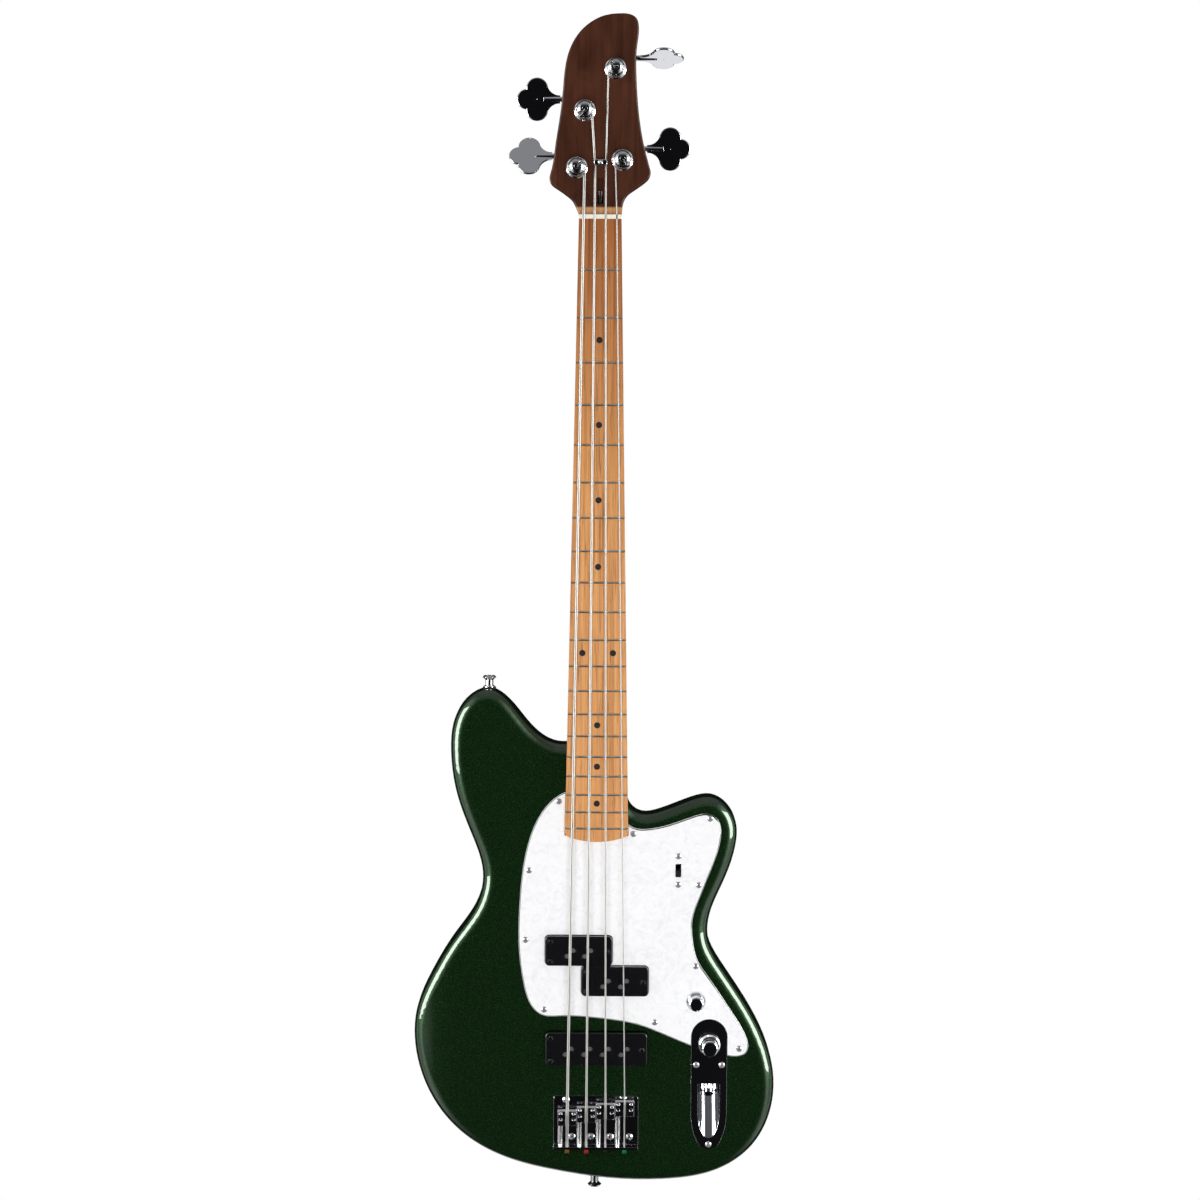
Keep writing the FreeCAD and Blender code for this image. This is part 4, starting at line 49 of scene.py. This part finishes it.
def new_material(name, **values):
    """A material with its Principled shader set by socket name; returns (material, tree, shader)."""
    material = bpy.data.materials.new(name)
    material.use_nodes = True
    tree = material.node_tree
    shader = next(node for node in tree.nodes if node.type == "BSDF_PRINCIPLED")
    for key, value in values.items():
        shader.inputs[key.replace("_", " ")].default_value = value
    return material, tree, shader


def add(tree, kind, inputs=None, **settings):
    """A shader node whose settings and inputs are given by name; an input may be another node's output."""
    made = tree.nodes.new("ShaderNode" + kind)
    for key, value in settings.items():
        setattr(made, key, value)
    for key, value in (inputs or {}).items():
        if isinstance(value, bpy.types.NodeSocket):
            tree.links.new(value, made.inputs[key])
        else:
            made.inputs[key].default_value = value
    return made


def own_place(tree, scale=(1.0, 1.0, 1.0)):
    """The point on the object in metres, stretched by a scale on each axis."""
    point = add(tree, "TexCoord").outputs["Object"]
    return add(tree, "Mapping", {"Vector": point, "Scale": scale}).outputs["Vector"]


def ramp(tree, value, stops):
    """A colour that runs through (position, colour) stops."""
    made = add(tree, "ValToRGB", {"Fac": value})
    elements = made.color_ramp.elements
    elements[0].position, elements[0].color = stops[0][0], (*stops[0][1], 1)
    elements[1].position, elements[1].color = stops[-1][0], (*stops[-1][1], 1)
    for position, colour in stops[1:-1]:
        element = elements.new(position)
        element.color = (*colour, 1)
    return made.outputs["Color"]


def remap(tree, value, source, target):
    """A value carried from one range to another, and held at its ends."""
    made = add(tree, "MapRange", {
        "Value": value, "From Min": source[0], "From Max": source[1], "To Min": target[0],
        "To Max": target[1]})
    return made.outputs["Result"]


def mixed(tree, amount, first, second, way="MIX"):
    """A colour between two colours, or the two joined in another of the node's ways."""
    made = add(tree, "Mix", {0: amount, 6: first, 7: second}, data_type="RGBA", blend_type=way)
    return made.outputs[2]


def eased_edge(tree, radius):
    """The surface's direction, with every sharp edge eased to a small radius."""
    return add(tree, "Bevel", {"Radius": radius}, samples=6).outputs["Normal"]


def raise_bumps(tree, shader, height, depth, strength=1.0, edge=None):
    """Makes the surface rise by up to a depth in metres where height is 1, with its edges eased."""
    made = add(tree, "Bump", {"Height": height, "Distance": depth, "Strength": strength})
    if edge:
        tree.links.new(eased_edge(tree, edge), made.inputs["Normal"])
    tree.links.new(made.outputs["Normal"], shader.inputs["Normal"])


def paint(material, *names):
    """The CAD nodes of these names get the material."""
    for name in names:
        mesh = nodes[name].data
        mesh.materials.clear()
        mesh.materials.append(material)


def green_lacquer():
    material, tree, shader = new_material(
        "green_lacquer", Metallic=0.75, Specular_IOR_Level=0.0, Coat_Weight=1.0,
        Coat_Roughness=0.03, Coat_IOR=1.8)
    flake = add(tree, "TexVoronoi", {"Vector": own_place(tree), "Scale": FLAKES_PER_METRE})
    chance = add(tree, "SeparateColor", {"Color": flake.outputs["Color"]})
    colour = ramp(tree, chance.outputs["Red"], [
        (0.0, GREEN_DEEP), (0.55, GREEN), (0.86, GREEN), (1.0, GREEN_FLAKE)])
    tree.links.new(colour, shader.inputs["Base Color"])
    tree.links.new(remap(tree, chance.outputs["Green"], (0, 1), (0.26, 0.38)), shader.inputs["Roughness"])
    return material


paint(green_lacquer(), "body")


# Neck plate and bolts: a plated steel plate on the body's back, and four countersunk bolts through it
# that draw the neck into its pocket.
def polished_metal(name, tint, roughness, mark_size=0.006, edge=None, metal=1.0):
    """Plated metal whose faint handling marks change its roughness; below 1, metal makes it duller."""
    material, tree, shader = new_material(name, Base_Color=(*tint, 1), Metallic=metal)
    if edge:
        tree.links.new(eased_edge(tree, edge), shader.inputs["Normal"])
    marks = add(tree, "TexNoise", {"Vector": own_place(tree), "Scale": 1 / mark_size, "Detail": 4.0})
    tree.links.new(remap(tree, marks.outputs["Fac"], (0.35, 0.75), roughness), shader.inputs["Roughness"])
    return material


chrome = polished_metal("chrome", (0.83, 0.84, 0.86), (0.03, 0.08), edge=0.0004)
paint(chrome, "neck_plate", "neck_bolts")


# Neck and headstock: one length of maple under a satin finish, grain along its length. The headstock
# is stained red brown, and the stain stops in a line just above the nut.
NUT_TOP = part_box("nut")[1][2]
STAIN_START = NUT_TOP + 0.0065
STAIN_END = NUT_TOP + 0.0085
MAPLE = [(0.28, (0.46, 0.21, 0.075)), (0.45, (0.60, 0.31, 0.13)), (0.62, (0.66, 0.37, 0.17)),
         (0.80, (0.72, 0.44, 0.23))]
STAINED = [(0.28, (0.030, 0.0085, 0.0040)), (0.48, (0.063, 0.0185, 0.0085)),
           (0.75, (0.100, 0.031, 0.0135))]
STAIN_CLOUDS_PER_METRE = (46.0, 46.0, 15.0)
STAIN_CLOUD_SHARE = 0.62
GRAIN_ACROSS = 0.0035
GRAIN_ALONG = 0.16
GRAIN_DEPTH = 0.00008


def grain_noise(tree, across, along, distortion):
    """Noise drawn out along the neck: streaks of a width across and a length along, in metres."""
    place = own_place(tree, (1 / across, 1 / across, 1 / along))
    return add(tree, "TexNoise", {
        "Vector": place, "Scale": 1.0, "Detail": 6.0, "Roughness": 0.62,
        "Distortion": distortion}).outputs["Fac"]


def along_axis(tree, axis):
    """The place on the object along one axis, in metres."""
    return add(tree, "SeparateXYZ", {"Vector": own_place(tree)}).outputs[axis]


def stained_maple():
    material, tree, shader = new_material(
        "stained_maple", Coat_Weight=0.2, Coat_Roughness=0.16, Specular_IOR_Level=0.2)
    grain = grain_noise(tree, GRAIN_ACROSS, GRAIN_ALONG, 0.8)
    cloud = add(tree, "TexNoise", {
        "Vector": own_place(tree, STAIN_CLOUDS_PER_METRE), "Scale": 1.0, "Detail": 4.0,
        "Distortion": 1.2}).outputs["Fac"]
    shade = add(tree, "Mix", {0: STAIN_CLOUD_SHARE, 2: grain, 3: cloud}).outputs[0]
    dark = ramp(tree, shade, STAINED)
    stain = remap(tree, along_axis(tree, "Z"), (STAIN_START, STAIN_END), (0, 1))
    tree.links.new(mixed(tree, stain, ramp(tree, grain, MAPLE), dark), shader.inputs["Base Color"])
    tree.links.new(remap(tree, grain, (0.3, 0.7), (0.30, 0.42)), shader.inputs["Roughness"])
    raise_bumps(tree, shader, grain, GRAIN_DEPTH, 0.5)
    return material


paint(stained_maple(), "neck")


# Truss rod: a steel rod in its slot inside the neck, which holds the neck straight against the strings.
# Its end shows above the nut, dulled by oil.
OIL_SPOTS_PER_METRE = 260.0


def dull_steel():
    material, tree, shader = new_material("dull_steel", Metallic=1.0)
    stain = add(tree, "TexNoise", {
        "Vector": own_place(tree), "Scale": OIL_SPOTS_PER_METRE, "Detail": 5.0}).outputs["Fac"]
    colour = ramp(tree, stain, [(0.3, (0.035, 0.030, 0.028)), (0.7, (0.16, 0.15, 0.15))])
    tree.links.new(colour, shader.inputs["Base Color"])
    tree.links.new(remap(tree, stain, (0.3, 0.7), (0.55, 0.35)), shader.inputs["Roughness"])
    return material


paint(dull_steel(), "truss_rod")


# Fretboard: a cap of roasted maple glued to the neck, amber with dark pores and streaks along it, under
# a thin satin film. Over its last stretch below the nut its colour is painted darker, as painted shade.
BOARD = [(0.24, (0.36, 0.136, 0.034)), (0.42, (0.61, 0.262, 0.074)), (0.60, (0.76, 0.352, 0.110)),
         (0.80, (0.82, 0.425, 0.145))]
STREAK = (0.20, 0.072, 0.021)
STREAK_ACROSS, STREAK_ALONG = 0.0022, 0.075
PORE_ACROSS, PORE_ALONG = 0.0008, 0.03
PORE_DEPTH = 0.00006
# Painted shade: at the nut the board's colour is multiplied by this tint, which fades out over this length.
NUT_END_SHADE_TINT = (0.52, 0.36, 0.23)
NUT_END_SHADE_LENGTH = 0.27


def roasted_maple():
    material, tree, shader = new_material("roasted_maple", Coat_Weight=0.2, Coat_Roughness=0.22)
    figure = ramp(tree, grain_noise(tree, GRAIN_ACROSS, GRAIN_ALONG, 0.6), BOARD)
    pores = grain_noise(tree, PORE_ACROSS, PORE_ALONG, 0.3)
    streaks = grain_noise(tree, STREAK_ACROSS, STREAK_ALONG, 1.4)
    lined = mixed(tree, remap(tree, streaks, (0.54, 0.66), (0.0, 0.66)), figure, (*STREAK, 1))
    pored = mixed(tree, remap(tree, pores, (0.62, 0.74), (0.0, 0.4)), lined, (*STREAK, 1))
    # Painted shade: the board's colour darkens towards the nut, where less light falls.
    shade_towards_nut = remap(tree, along_axis(tree, "Z"), (NUT_TOP - NUT_END_SHADE_LENGTH, NUT_TOP), (0, 1))
    tint = mixed(tree, shade_towards_nut, (1, 1, 1, 1), (*NUT_END_SHADE_TINT, 1))
    tree.links.new(mixed(tree, 1.0, pored, tint, "MULTIPLY"), shader.inputs["Base Color"])
    tree.links.new(remap(tree, pores, (0.3, 0.7), (0.34, 0.46)), shader.inputs["Roughness"])
    raise_bumps(tree, shader, pores, PORE_DEPTH, 0.4)
    return material


paint(roasted_maple(), "fretboard")


# Frets and dots: crowned nickel-silver wire pressed into slots sawn across the board, and black plastic
# dots let into the board.
nickel_silver = polished_metal("nickel_silver", (0.86, 0.84, 0.74), (0.34, 0.46))
paint(nickel_silver, "frets")


def moulded(name, low, high, roughness, grain_size, edge=None, gloss=0.0):
    """Plastic or bone with a fine grain between two colours that also lifts its surface a little."""
    material, tree, shader = new_material(
        name, Roughness=roughness, Coat_Weight=gloss, Coat_Roughness=0.06)
    grain = add(tree, "TexNoise", {"Vector": own_place(tree), "Scale": 1 / grain_size, "Detail": 4.0})
    tree.links.new(ramp(tree, grain.outputs["Fac"], [(0.3, low), (0.7, high)]), shader.inputs["Base Color"])
    raise_bumps(tree, shader, grain.outputs["Fac"], grain_size / 30, 0.5, edge)
    return material


black_dot = moulded("black_dot", (0.012, 0.012, 0.014), (0.030, 0.030, 0.034), 0.28, 0.0012)
paint(black_dot, "position_dots")


# Nut: a slip of pale bone across the end of the board, slotted for the strings and polished. It is where
# the strings' free length ends.
paint(moulded("bone", (0.86, 0.82, 0.71), (0.96, 0.93, 0.85), 0.25, 0.0022), "nut")


# Tuners: plated bushings and base plates on the headstock, slotted posts with a domed cap, and worm
# shafts that end in clover-leaf keys. A round retainer holds the middle strings down.
STRINGS = ["e", "a", "d", "g"]
paint(chrome, "tuner_bushings", "tuner_base_plates", "headstock_screws", "string_retainer")
paint(chrome, *[f"tuner_{part}_{string}" for part in ("post", "key") for string in STRINGS])


# Pickguard: a sheet of three-ply plastic, white pearl over black over white, with a bevelled edge that
# shows the plies, held by small plated screws.
GUARD_BACK, GUARD_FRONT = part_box("pickguard")[1][1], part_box("pickguard")[0][1]
TOP_PLY_SHARE, BLACK_PLY_SHARE = 0.13, 0.22
PEARL = [(0.30, (0.84, 0.84, 0.88)), (0.42, (0.91, 0.91, 0.935)), (0.55, (0.955, 0.955, 0.965)),
         (0.75, (0.975, 0.975, 0.98))]
PEARL_CLOUD = 0.014
PLY_BLACK = (0.012, 0.012, 0.013)


def white_pearl():
    material, tree, shader = new_material(
        "white_pearl", Roughness=0.24, Coat_Weight=0.5, Coat_Roughness=0.06)
    cloud = add(tree, "TexNoise", {
        "Vector": own_place(tree), "Scale": 1 / PEARL_CLOUD, "Detail": 5.0, "Roughness": 0.62,
        "Distortion": 2.6}).outputs["Fac"]
    pearl = ramp(tree, cloud, PEARL)
    depth = remap(tree, along_axis(tree, "Y"), (GUARD_FRONT, GUARD_BACK), (0, 1))
    under_top = add(tree, "Math", {0: depth, 1: TOP_PLY_SHARE}, operation="GREATER_THAN").outputs["Value"]
    above_back = add(tree, "Math", {
        0: depth, 1: TOP_PLY_SHARE + BLACK_PLY_SHARE}, operation="LESS_THAN").outputs["Value"]
    black = add(tree, "Math", {0: under_top, 1: above_back}, operation="MULTIPLY").outputs["Value"]
    tree.links.new(mixed(tree, black, pearl, (*PLY_BLACK, 1)), shader.inputs["Base Color"])
    return material


paint(white_pearl(), "pickguard")
screw_steel = polished_metal("screw_steel", (0.50, 0.50, 0.51), (0.14, 0.26), 0.001, metal=0.55)
paint(screw_steel, "plate_screws")


# Pickups: black moulded covers over wound coils, with the tops of their steel poles flush in the covers
# and a blackened screw at each end.
COVER_EDGE = 0.0018
cover_plastic = moulded(
    "cover_plastic", (0.004, 0.004, 0.005), (0.007, 0.007, 0.008), 0.2, 0.0006, COVER_EDGE, gloss=1.0)
paint(cover_plastic, "split_pickup_cover_bass", "split_pickup_cover_treble", "bar_pickup_cover")
paint(moulded("coil_tape", (0.010, 0.009, 0.009), (0.022, 0.020, 0.020), 0.6, 0.0015), "pickup_coils")
pole_steel = polished_metal("pole_steel", (0.34, 0.34, 0.35), (0.42, 0.58), 0.0008)
paint(pole_steel, "pickup_pole_pieces")
paint(polished_metal("blackened_steel", (0.06, 0.06, 0.065), (0.25, 0.45), 0.0015), "pickup_screws")


# Bridge: a bent, plated plate with five screws, and four saddles that slide on it. A long screw through
# the plate's lip draws each saddle back against a coil spring. The springs show as smooth copies.
MERGE_DISTANCE = 0.000002
SMOOTH_ANGLE = math.radians(40.0)
SADDLE_EDGE = 0.0009
paint(chrome, "bridge_plate", "bridge_screws", "intonation_screws")
saddle_chrome = polished_metal("saddle_chrome", (0.92, 0.92, 0.94), (0.06, 0.14), 0.002, SADDLE_EDGE)
paint(saddle_chrome, *[f"saddle_{string}" for string in STRINGS])
spring_steel = polished_metal("spring_steel", (0.56, 0.55, 0.53), (0.16, 0.30), 0.002)


def wire_piece(name, node, material, cuts=()):
    """A wire as the node's own surface, joined, shaded round and cut off at (height, side to lose) cuts."""
    mesh = nodes[node].data.copy()
    form = bmesh.new()
    form.from_mesh(mesh)
    bmesh.ops.remove_doubles(form, verts=form.verts, dist=MERGE_DISTANCE)
    for height, side in cuts:
        all_parts = form.verts[:] + form.edges[:] + form.faces[:]
        made = bmesh.ops.bisect_plane(
            form, geom=all_parts, plane_co=(0, 0, height), plane_no=(0, 0, side), clear_outer=True)
        rim = [part for part in made["geom_cut"] if isinstance(part, bmesh.types.BMEdge)]
        bmesh.ops.edgeloop_fill(form, edges=rim)
    form.to_mesh(mesh)
    form.free()
    if "custom_normal" in mesh.attributes:
        mesh.attributes.remove(mesh.attributes["custom_normal"])
    mesh.shade_smooth()
    mesh.set_sharp_from_angle(angle=SMOOTH_ANGLE)
    mesh.materials.clear()
    mesh.materials.append(material)
    piece = bpy.data.objects.new(name, mesh)
    bpy.context.collection.objects.link(piece)
    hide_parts(node)
    return piece


for string in STRINGS:
    node = f"saddle_spring_{string}"
    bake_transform(wire_piece(node + "_wire", node, spring_steel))


# Controls: a plated plate with a scooped jack socket, a volume knob on the guard, a stacked pair of
# knobs on the plate, and a small slide switch with a black lever.
paint(chrome, "control_plate", "control_nuts", "volume_knob", "stacked_knob_ring", "stacked_knob_top")
paint(polished_metal("jack_nickel", (0.40, 0.39, 0.38), (0.12, 0.26), 0.002), "output_jack")
can_steel = polished_metal("can_steel", (0.50, 0.49, 0.47), (0.25, 0.45))
paint(can_steel, "potentiometers", "volume_shaft", "stacked_inner_shaft", "slide_switch")
paint(polished_metal("shaft_brass", (0.76, 0.56, 0.27), (0.20, 0.35)), "stacked_outer_shaft")
lever_black = moulded("lever_black", (0.006, 0.006, 0.006), (0.012, 0.012, 0.012), 0.4, 0.0007)
paint(lever_black, "slide_switch_lever")


# Strings: steel cores wound with nickel-plated wire, from their ball ends over the saddles and the nut
# to the posts. Each is cut in three, at its saddle and at its post. The ball ends are coloured to tell
# the strings apart.
WRAP_PITCH = 0.00055
POST_REACH = 0.0115
SADDLE_BREAK = 0.004
TURNS_CUT, TURNS_FAR, TURNS_NEAR = 0.017, 0.0165, 0.0088
BALL_SPECKS_PER_METRE = 900.0
BALL_COLOURS = [(0.30, 0.13, 0.030), (0.62, 0.030, 0.025), (0.016, 0.016, 0.016), (0.012, 0.26, 0.11)]


def wound_string():
    """Nickel-plated wrap wire: rings one wrap pitch apart along the length kept in the attribute along,
    with painted shade darkening the grooves between the wraps.
    """
    material, tree, shader = new_material("wound_string", Metallic=1.0)
    along = add(tree, "Attribute", attribute_name="along").outputs["Fac"]
    turns = add(tree, "Math", {0: along, 1: 2 * math.pi / WRAP_PITCH}, operation="MULTIPLY")
    wave = add(tree, "Math", {0: turns.outputs["Value"]}, operation="SINE").outputs["Value"]
    ring = remap(tree, wave, (-1, 1), (0, 1))
    # Painted shade: the colour is darkest in the grooves between the wraps, where the bump is lowest.
    colour = ramp(tree, ring, [
        (0.0, (0.44, 0.43, 0.40)), (0.5, (0.50, 0.49, 0.46)), (1.0, (0.52, 0.51, 0.48))])
    tree.links.new(colour, shader.inputs["Base Color"])
    tree.links.new(remap(tree, ring, (0, 1), (0.56, 0.48)), shader.inputs["Roughness"])
    raise_bumps(tree, shader, ring, WRAP_PITCH / 20, 0.12)
    return material


def middle_of(node):
    """The middle of a CAD node's box."""
    low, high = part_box(node)
    return (Vector(low) + Vector(high)) / 2


def measure_along(piece, string):
    """The attribute along: the height up the neck, or round a post its angle times its reach."""
    mesh = piece.data
    points = np.empty(3 * len(mesh.vertices), dtype=np.float32)
    mesh.vertices.foreach_get("co", points)
    points = points.reshape(-1, 3)
    post = middle_of(f"tuner_post_{string}")
    across = points[:, 0] - post.x
    up = points[:, 2] - post.z
    round_post = np.hypot(across, up) < POST_REACH
    along = np.where(round_post, np.arctan2(up, across) * POST_REACH, points[:, 2])
    attribute = mesh.attributes.new("along", "FLOAT", "POINT")
    attribute.data.foreach_set("value", along.astype(np.float32))


def string_pieces(string, material):
    """A string in three lengths: up to its saddle, on to the post, and the turns that the post carries."""
    node, saddle, post = f"string_{string}", f"saddle_block_{string}", f"post_{string}"
    bend = middle_of(f"saddle_{string}").z + SADDLE_BREAK
    post_middle = middle_of(f"tuner_post_{string}")
    turns_start = post_middle.z - TURNS_CUT
    tail = wire_piece(node + "_tail", node, material, [(bend, 1)])
    span = wire_piece(node + "_span", node, material, [(bend, -1), (turns_start, 1)])
    turns = wire_piece(node + "_turns", node, material, [(turns_start, -1)])
    for piece in (tail, span, turns):
        measure_along(piece, string)
    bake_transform(tail)
    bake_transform(span)
    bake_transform(turns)


string_steel = wound_string()
for string in STRINGS:
    string_pieces(string, string_steel)


def coloured_ball_ends():
    """Anodised brass whose colour steps from string to string across the bridge."""
    material, tree, shader = new_material("ball_ends", Metallic=0.55, Roughness=0.34)
    middles = [middle_of(f"saddle_{string}").x for string in STRINGS]
    speck = add(tree, "TexNoise", {
        "Vector": own_place(tree), "Scale": BALL_SPECKS_PER_METRE, "Detail": 3.0}).outputs["Fac"]
    colour = None
    for n, base in enumerate(BALL_COLOURS):
        tint = ramp(tree, speck, [(0.3, tuple(0.7 * part for part in base)), (0.7, base)])
        if colour is None:
            colour = tint
            continue
        border = (middles[n - 1] + middles[n]) / 2
        right = add(tree, "Math", {0: along_axis(tree, "X"), 1: border}, operation="GREATER_THAN")
        colour = mixed(tree, right.outputs["Value"], colour, tint)
    tree.links.new(colour, shader.inputs["Base Color"])
    return material


paint(coloured_ball_ends(), "string_ball_ends")


# Strap buttons: turned and plated steel for a strap to hook on, one at the tail and one on the upper
# horn, each screwed down over a felt washer.
dark_felt = moulded("dark_felt", (0.006, 0.006, 0.006), (0.022, 0.022, 0.022), 0.9, 0.0005)
paint(chrome, "strap_buttons", "strap_button_screws")
paint(dark_felt, "strap_button_washers")


# Studio: white all round, with a pale round floor that fades out and keeps the shadow. The camera's
# side is dark in mirrors, and a tall strip light on each side draws the edges.
FLOOR_LEVEL = -0.3
FLOOR_RADIUS = 0.85
FLOOR_CLEAR = 0.3
FLOOR_GLOW = 0.3
STRIP_OUT, STRIP_FRONT, STRIP_HEIGHT = 2.4, 1.05, 0.75
STRIP_SIZE, STRIP_POWER = (1.5, 2.0), 80.0
FILL_FRONT, FILL_HEIGHT = 2.8, 0.15
FILL_SIZE, FILL_POWER = (2.4, 1.4), 52.0
SOFT_LEVEL = (0.46, 0.46, 0.46)
MIDDLE = (0.0, 0.0, 0.58)


def studio_floor():
    """A disc as rings and spokes: radius times the cosine and sine of an angle, at the floor's level."""
    spokes, rings = 64, 12
    angle = np.linspace(0, 2 * np.pi, spokes, endpoint=False)
    radius = np.linspace(FLOOR_RADIUS / rings, FLOOR_RADIUS, rings)
    flat = np.stack([np.outer(radius, np.cos(angle)), np.outer(radius, np.sin(angle)),
                     np.full((rings, spokes), FLOOR_LEVEL)], axis=-1).reshape(-1, 3)
    ring, spoke = np.meshgrid(np.arange(rings - 1), np.arange(spokes), indexing="ij")
    after = (spoke + 1) % spokes
    quads = np.stack([ring * spokes + spoke, (ring + 1) * spokes + spoke, (ring + 1) * spokes + after,
                      ring * spokes + after], axis=-1).reshape(-1, 4)
    faces = quads.tolist() + [list(range(spokes))]
    mesh = bpy.data.meshes.new("floor")
    mesh.from_pydata(flat.tolist(), [], faces)
    floor = bpy.data.objects.new("floor", mesh)
    bpy.context.collection.objects.link(floor)
    material, tree, shader = new_material("floor", Roughness=0.8, Base_Color=(0.8, 0.8, 0.8, 1))
    shader.inputs["Emission Color"].default_value = (1, 1, 1, 1)
    seen = add(tree, "LightPath").outputs["Is Camera Ray"]
    tree.links.new(remap(tree, seen, (0, 1), (0.0, FLOOR_GLOW)), shader.inputs["Emission Strength"])
    flat_place = own_place(tree, (1.0, 1.0, 0.0))
    distance = add(tree, "VectorMath", {0: flat_place}, operation="LENGTH").outputs["Value"]
    tree.links.new(remap(tree, distance, (FLOOR_CLEAR, FLOOR_RADIUS), (1, 0)), shader.inputs["Alpha"])
    mesh.materials.append(material)
    floor.visible_glossy = False


def studio_sky():
    """White to the camera; in mirrors pale at the sides and below the back, and dark in front."""
    world = bpy.data.worlds.new("studio")
    bpy.context.scene.world = world
    world.cycles.sampling_method = "NONE"
    world.use_nodes = True
    tree = world.node_tree
    background = next(node for node in tree.nodes if node.type == "BACKGROUND")
    rays = add(tree, "LightPath").outputs
    way = add(tree, "SeparateXYZ", {"Vector": add(tree, "TexCoord").outputs["Generated"]}).outputs
    across = add(tree, "Math", {0: way["X"]}, operation="ABSOLUTE").outputs["Value"]
    behind = remap(tree, way["Y"], (0, 1), (0, 1.2))
    aside = add(tree, "Math", {0: across, 1: behind}, operation="SUBTRACT").outputs["Value"]
    sides = ramp(tree, aside, [
        (0.0, (0.004, 0.004, 0.0045)), (0.40, (0.02, 0.02, 0.022)), (0.60, (0.34, 0.34, 0.35)),
        (0.76, (0.80, 0.80, 0.82)), (0.90, (0.42, 0.42, 0.43)), (1.0, (0.12, 0.12, 0.13))])
    above = ramp(tree, way["Z"], [
        (0.40, (0.004, 0.004, 0.0045)), (0.62, (0.17, 0.17, 0.18)), (1.0, (0.30, 0.30, 0.31))])
    sweep = add(tree, "Math", {0: way["Y"], 1: way["Z"]}, operation="SUBTRACT").outputs["Value"]
    below = ramp(tree, remap(tree, sweep, (1.28, 1.40), (0, 1)), [
        (0.0, (0.0, 0.0, 0.0)), (1.0, (0.85, 0.85, 0.87))])
    mirror = mixed(tree, 1.0, mixed(tree, 1.0, sides, above, "LIGHTEN"), below, "LIGHTEN")
    unseen = mixed(tree, rays["Is Glossy Ray"], (*SOFT_LEVEL, 1), mirror)
    tree.links.new(mixed(tree, rays["Is Camera Ray"], unseen, (1, 1, 1, 1)), background.inputs["Color"])


def soft_light(name, place, width, height, power, mirrored):
    """A flat light towards the middle of the object, seen either by mirrors only or by all but mirrors."""
    data = bpy.data.lights.new(name, "AREA")
    data.shape = "RECTANGLE"
    data.size, data.size_y, data.energy = width, height, power
    lamp = bpy.data.objects.new(name, data)
    lamp.location = place
    lamp.rotation_euler = (Vector(MIDDLE) - Vector(place)).to_track_quat("-Z", "Y").to_euler()
    lamp.visible_glossy = mirrored
    lamp.visible_diffuse = not mirrored
    lamp.visible_camera = False
    bpy.context.collection.objects.link(lamp)


studio_floor()
studio_sky()
for side in (-1, 1):
    strip_place = (side * STRIP_OUT, -STRIP_FRONT, STRIP_HEIGHT)
    soft_light(f"strip_{side}", strip_place, *STRIP_SIZE, STRIP_POWER, True)
soft_light("fill", (0.0, -FILL_FRONT, FILL_HEIGHT), *FILL_SIZE, FILL_POWER, False)


# Camera: in front, level with the upper half of the neck and tipped down a little, far enough off to
# see the whole instrument.
CAMERA_PLACE = (0.0020, -2.5, 0.7961)
CAMERA_PITCH, CAMERA_ROLL = math.radians(-4.74), math.radians(0.35)
FILM_WIDTH, LENS = 36.0, 76.5
FAR_LIMIT = 60.0


def photo_camera():
    data = bpy.data.cameras.new("camera")
    data.sensor_width = FILM_WIDTH
    data.lens = LENS
    data.clip_end = FAR_LIMIT
    camera = bpy.data.objects.new("camera", data)
    forward = Vector((0.0, math.cos(CAMERA_PITCH), math.sin(CAMERA_PITCH)))
    level_right = Vector((1.0, 0.0, 0.0))
    level_up = level_right.cross(forward)
    right = level_right * math.cos(CAMERA_ROLL) + level_up * math.sin(CAMERA_ROLL)
    up = level_up * math.cos(CAMERA_ROLL) - level_right * math.sin(CAMERA_ROLL)
    turn = Matrix((right, up, -forward)).transposed()
    camera.matrix_world = Matrix.Translation(CAMERA_PLACE) @ turn.to_4x4()
    bpy.context.collection.objects.link(camera)
    bpy.context.scene.camera = camera


photo_camera()
bpy.context.scene.view_settings.view_transform = "Standard"
